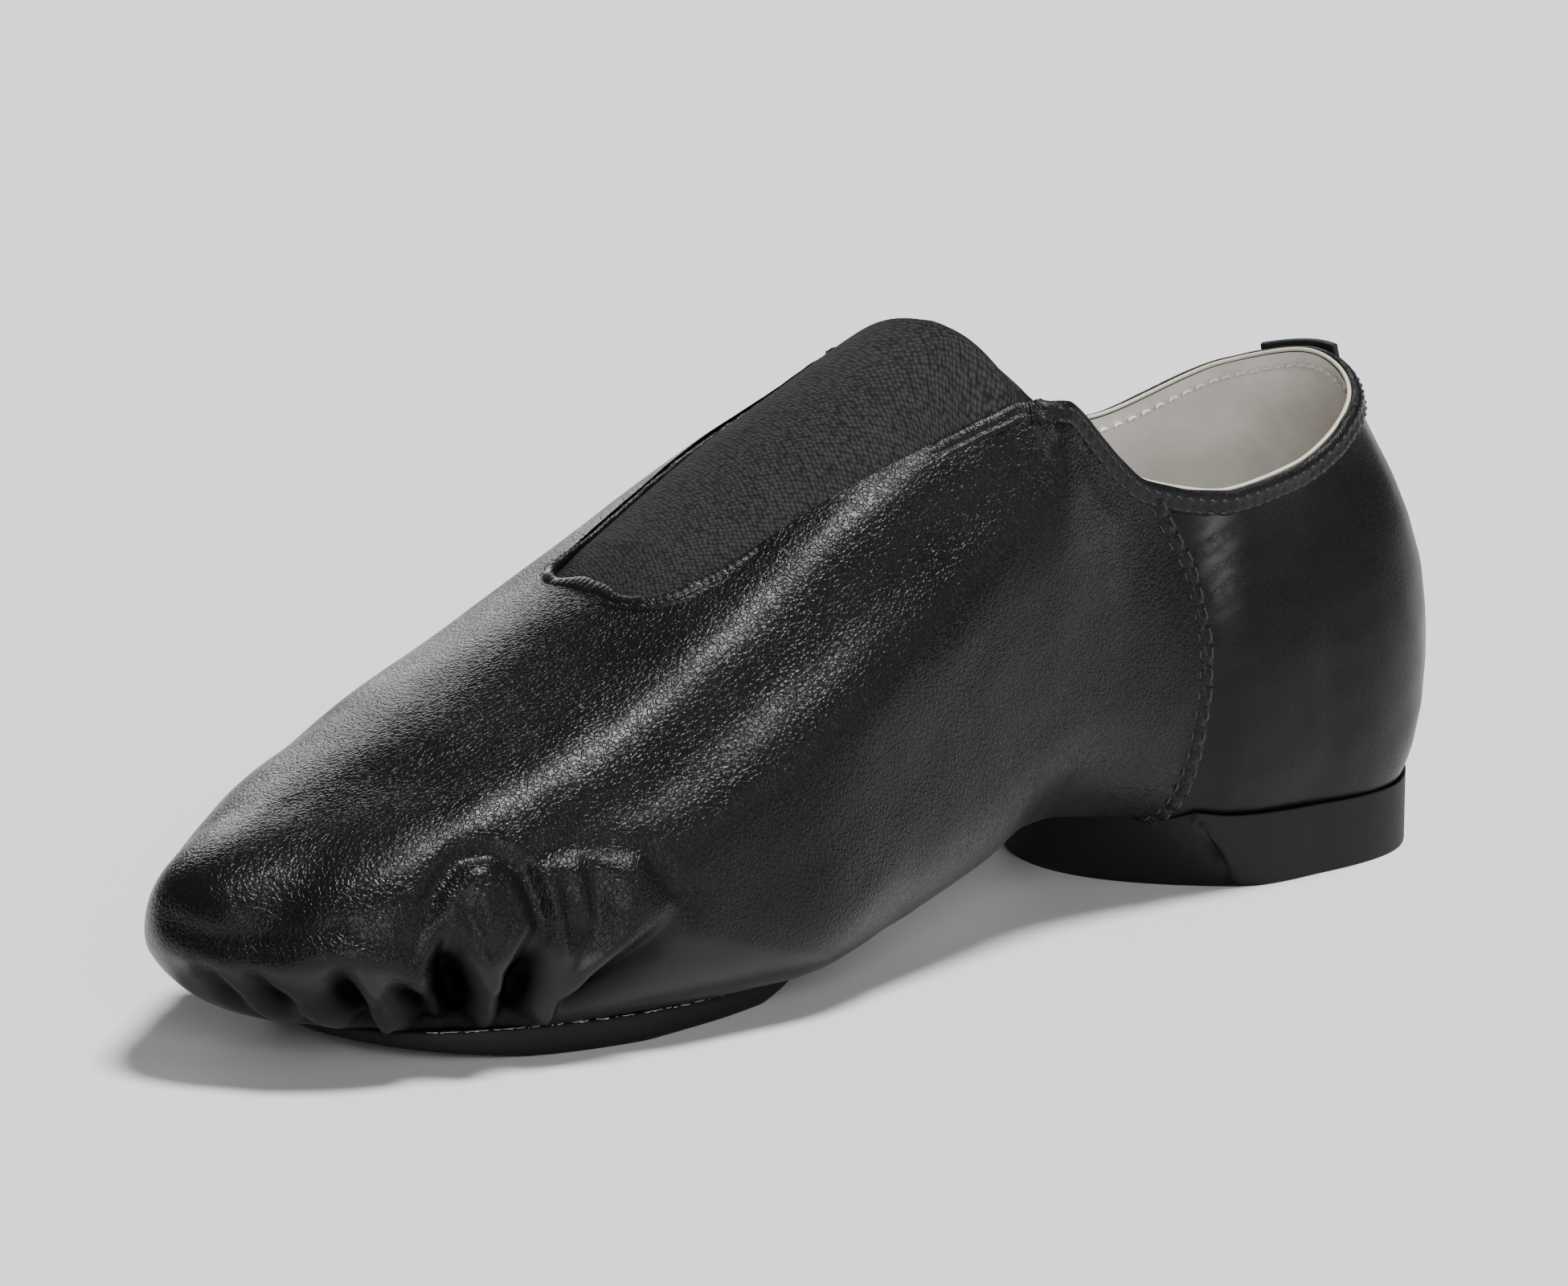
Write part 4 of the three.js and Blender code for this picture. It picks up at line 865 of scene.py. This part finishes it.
# Heel
# Low block of black rubber under the heel seat. Its front face is bowed and cut back to the floor.
HEEL_LENGTH, HEEL_WIDTH, BREAST_SET, BREAST_BOW, BREAST_UNDERCUT = 73.5, 53.0, 3.5, 14.5, 9.7
BREAST_BACK = 13.1
HEEL_EDGE = np.array([[11, 1.32], [12.5, 1.3], [13.5, 1.31], [14.2, 1.33], [15, 1.34]])
breast_share = np.linspace(0, 1, 12)
back_rows = even(BREAST_BACK, 30 - BREAST_BACK, 1.0, 1.3)
heel_line = np.concatenate([breast_share[:-1], back_rows, breast_share[:-1][::-1]])
heel_side = np.concatenate([np.ones(11), np.where(back_rows <= BACK, 1, -1), -np.ones(11)])
is_breast = np.concatenate([np.ones(11, bool), np.zeros(len(back_rows), bool), np.ones(11, bool)])
heel_row = np.where(is_breast, BREAST_BACK, np.minimum(heel_line, 30 - heel_line))
heel_rim = np.interp(heel_row, *HEEL_EDGE.T)
heel_place = heel_rim[:, None] * np.linspace(0, 1, 24)


def bow(p):
    """Set-back of the bowed front face at a point: the square of its distance from the middle."""
    return ((p[..., 1] + BREAST_SET) / (HEEL_WIDTH / 2 + BREAST_SET)) ** 2


def breast_row(side_, place):
    """Row under which the front face starts, found by halving."""
    low_, high_ = np.full(place.shape, 10.0), np.full(place.shape, BREAST_BACK)
    for _ in range(30):
        mid = (low_ + high_) / 2
        p_ = last(bent(np.where(side_ > 0, mid, -mid), place), place)
        ahead = p_[..., 0] > HEEL_LENGTH - HEEL_REACH - BREAST_BOW * bow(p_)
        low_, high_ = np.where(ahead, mid, low_), np.where(ahead, high_, mid)
    return mid


starts = breast_row(np.broadcast_to(heel_side[:, None], heel_place.shape), heel_place)
row_at = np.where(is_breast[:, None], starts + (BREAST_BACK - starts) * np.where(
    is_breast, heel_line, 0)[:, None], heel_row[:, None])
round_at = bent(np.where(heel_side[:, None] > 0, row_at, -row_at), heel_place)
p, _, _, normal = ribs(round_at, heel_place)
top_face = p + normal * 0.12
floor_face = p.copy()
cut = BREAST_UNDERCUT * (0.55 + 0.45 * bow(p)) * (1 - np.where(is_breast, heel_line, 1))[:, None]
floor_face[..., 0] -= cut
floor_face[..., 2] = 0
wall = np.array([0.03, 0.12, 0.5, 0.88, 0.97])
side_wall = floor_face[:, -1:] + (top_face[:, -1:] - floor_face[:, -1:]) * wall[:, None]
loop = np.concatenate([floor_face, side_wall, top_face[:, -1:], top_face[:, -4:-3]], axis=1)
rise = np.linspace(0, 1, 8)[:-1][:, None, None]


def breast_face(k):
    """Front face at one end of the block's lines: from the leather down to the floor edge."""
    face = top_face[k] + (floor_face[k] - top_face[k]) * rise
    edge_ = face[:, -1:] + (top_face[k, -1] - face[:, -1:]) * wall[:, None]
    tops = np.broadcast_to(top_face[k, [-1, -4]], (len(face), 2, 3))
    return np.concatenate([face, edge_, tops], axis=1)


loop = np.concatenate([breast_face(0), loop, breast_face(-1)[::-1]])
heel = sheet("heel_block", loop[::-1])
heel.data.materials.append(rubber)
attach(heel, "root")
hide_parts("heel")

# Insole
# Thin padded board with a cloth face, laid on the leather's turned-in margin.
insole_lines = even(-BACK, BACK, 2.5, 1.0)
insole_places = np.linspace(0, 0.94, 24)
p, _, _, normal = ribs(insole_lines[:, None], insole_places)
drop = np.interp(insole_places, [0, 0.8, 0.94], [3.5, 3.4, 2.6])
insole = sheet("insole_pad", (p - normal * drop[:, None])[:, ::-1])
solid = insole.modifiers.new("thickness", "SOLIDIFY")
solid.thickness = 0.0018
solid.offset = -1
look, shader, nodes, links = material("insole cloth", (0.33, 0.30, 0.27), 0.85)
roughen(shader, nodes, links, speckle(nodes, links, 1500, 2).outputs["Fac"], 0.0001)
insole.data.materials.append(look)
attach(insole, "root")
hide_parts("insole")

# Back tab
# Short black ribbon over the back seam, sewn in along the collar and standing a little above it.
TAB_WIDTH, TAB_SET, TAB_PROUD = 13.0, 4.0, 0.7
tab_across = np.linspace(-1, 1, 25)
tab_up = np.linspace(0, 1, 40)
tab_rows = np.linspace(13.6, 16.4, 1500)
foot = 3 - 0.52
tab_place = foot + (3 - foot) * tab_up
grid_rounds = np.zeros((25, 40))
for c, place in enumerate(tab_place):
    y = last(tab_rows, place)[:, 1]
    grid_rounds[:, c] = np.interp(-(tab_across * TAB_WIDTH / 2 - TAB_SET), -y, tab_rows)
p, _, up, normal = ribs(grid_rounds, tab_place)
lift = np.interp(tab_up, [0, 0.8, 0.86, 1], [0.1, 0.2, 0.95, 0.95])
tab_points = p + normal * lift[:, None]
proud = np.linspace(0.4, TAB_PROUD, 4)
tip = tab_points[:, -1:] + up[:, -1:] * proud[:, None]
tab = sheet("back_ribbon", np.concatenate([tab_points, tip], axis=1)[::-1])
solid = tab.modifiers.new("thickness", "SOLIDIFY")
solid.thickness = 0.0009
solid.offset = 1
look, shader, nodes, links = material("black tape", (0.006, 0.006, 0.009), 0.7)
uv = nodes.new("ShaderNodeUVMap")
uv.uv_map = "UVMap"
twill = nodes.new("ShaderNodeTexWave")
twill.inputs["Scale"].default_value = 900
links.new(uv.outputs["UV"], twill.inputs["Vector"])
roughen(shader, nodes, links, twill.outputs["Fac"], 0.0001)
tab.data.materials.append(look)
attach(tab, "root")
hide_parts("back_tab")

# Floor, light and camera
# Pale studio floor and backdrop in one, four large soft lights, and the camera low before the
# toe, on its inner side.
floor_points = np.array([[[x, y, 0.0] for y in (-6000, 6000)] for x in (-6000, 6000)], float)
floor = sheet("floor", floor_points)
look, shader, nodes, links = material("studio floor", (0.86, 0.86, 0.86), 0.9)
floor.data.materials.append(look)

world = bpy.data.worlds.new("studio")
bpy.context.scene.world = world
world.use_nodes = True
world.node_tree.nodes["Background"].inputs["Color"].default_value = (1, 1, 1, 1)
world.node_tree.nodes["Background"].inputs["Strength"].default_value = 0.1


def soft_light(name, azimuth, elevation, angle, strength):
    """Wide distant light from an azimuth about +Z from +X and a height over the horizon, all in
    degrees, as a large diffuser far off gives."""
    data = bpy.data.lights.new(name, "SUN")
    data.angle, data.energy = math.radians(angle), strength
    lamp = bpy.data.objects.new(name, data)
    bpy.context.collection.objects.link(lamp)
    lamp.rotation_euler = (math.radians(90 - elevation), 0, math.radians(azimuth + 90))


soft_light("overhead", 144, 76, 17, 4.8)
soft_light("behind", -122, 15, 20, 0.6)
soft_light("right", 119, 24, 22, 0.35)
soft_light("front", 62, 20, 34, 1.5)

AZIMUTH, ELEVATION, DISTANCE = math.radians(140.279), math.radians(13.86), 1.553
TARGET = (0.084204, 0.0, 0.038137)
LENS, SENSOR, IMAGE_WIDTH = 236.6, 36.0, 1951
SHIFT_RIGHT, SHIFT_UP = 15.5 / IMAGE_WIDTH, 60 / IMAGE_WIDTH
camera_data = bpy.data.cameras.new("camera")
camera_data.lens, camera_data.sensor_width = LENS, SENSOR
camera_data.shift_x, camera_data.shift_y = SHIFT_RIGHT, SHIFT_UP
camera_data.clip_end = 50
camera = bpy.data.objects.new("camera", camera_data)
bpy.context.collection.objects.link(camera)
camera.location = (TARGET[0] + DISTANCE * math.sin(AZIMUTH) * math.cos(ELEVATION),
                   TARGET[1] - DISTANCE * math.cos(AZIMUTH) * math.cos(ELEVATION),
                   TARGET[2] + DISTANCE * math.sin(ELEVATION))
camera.rotation_euler = (math.pi / 2 - ELEVATION, 0, AZIMUTH)
bpy.context.scene.camera = camera
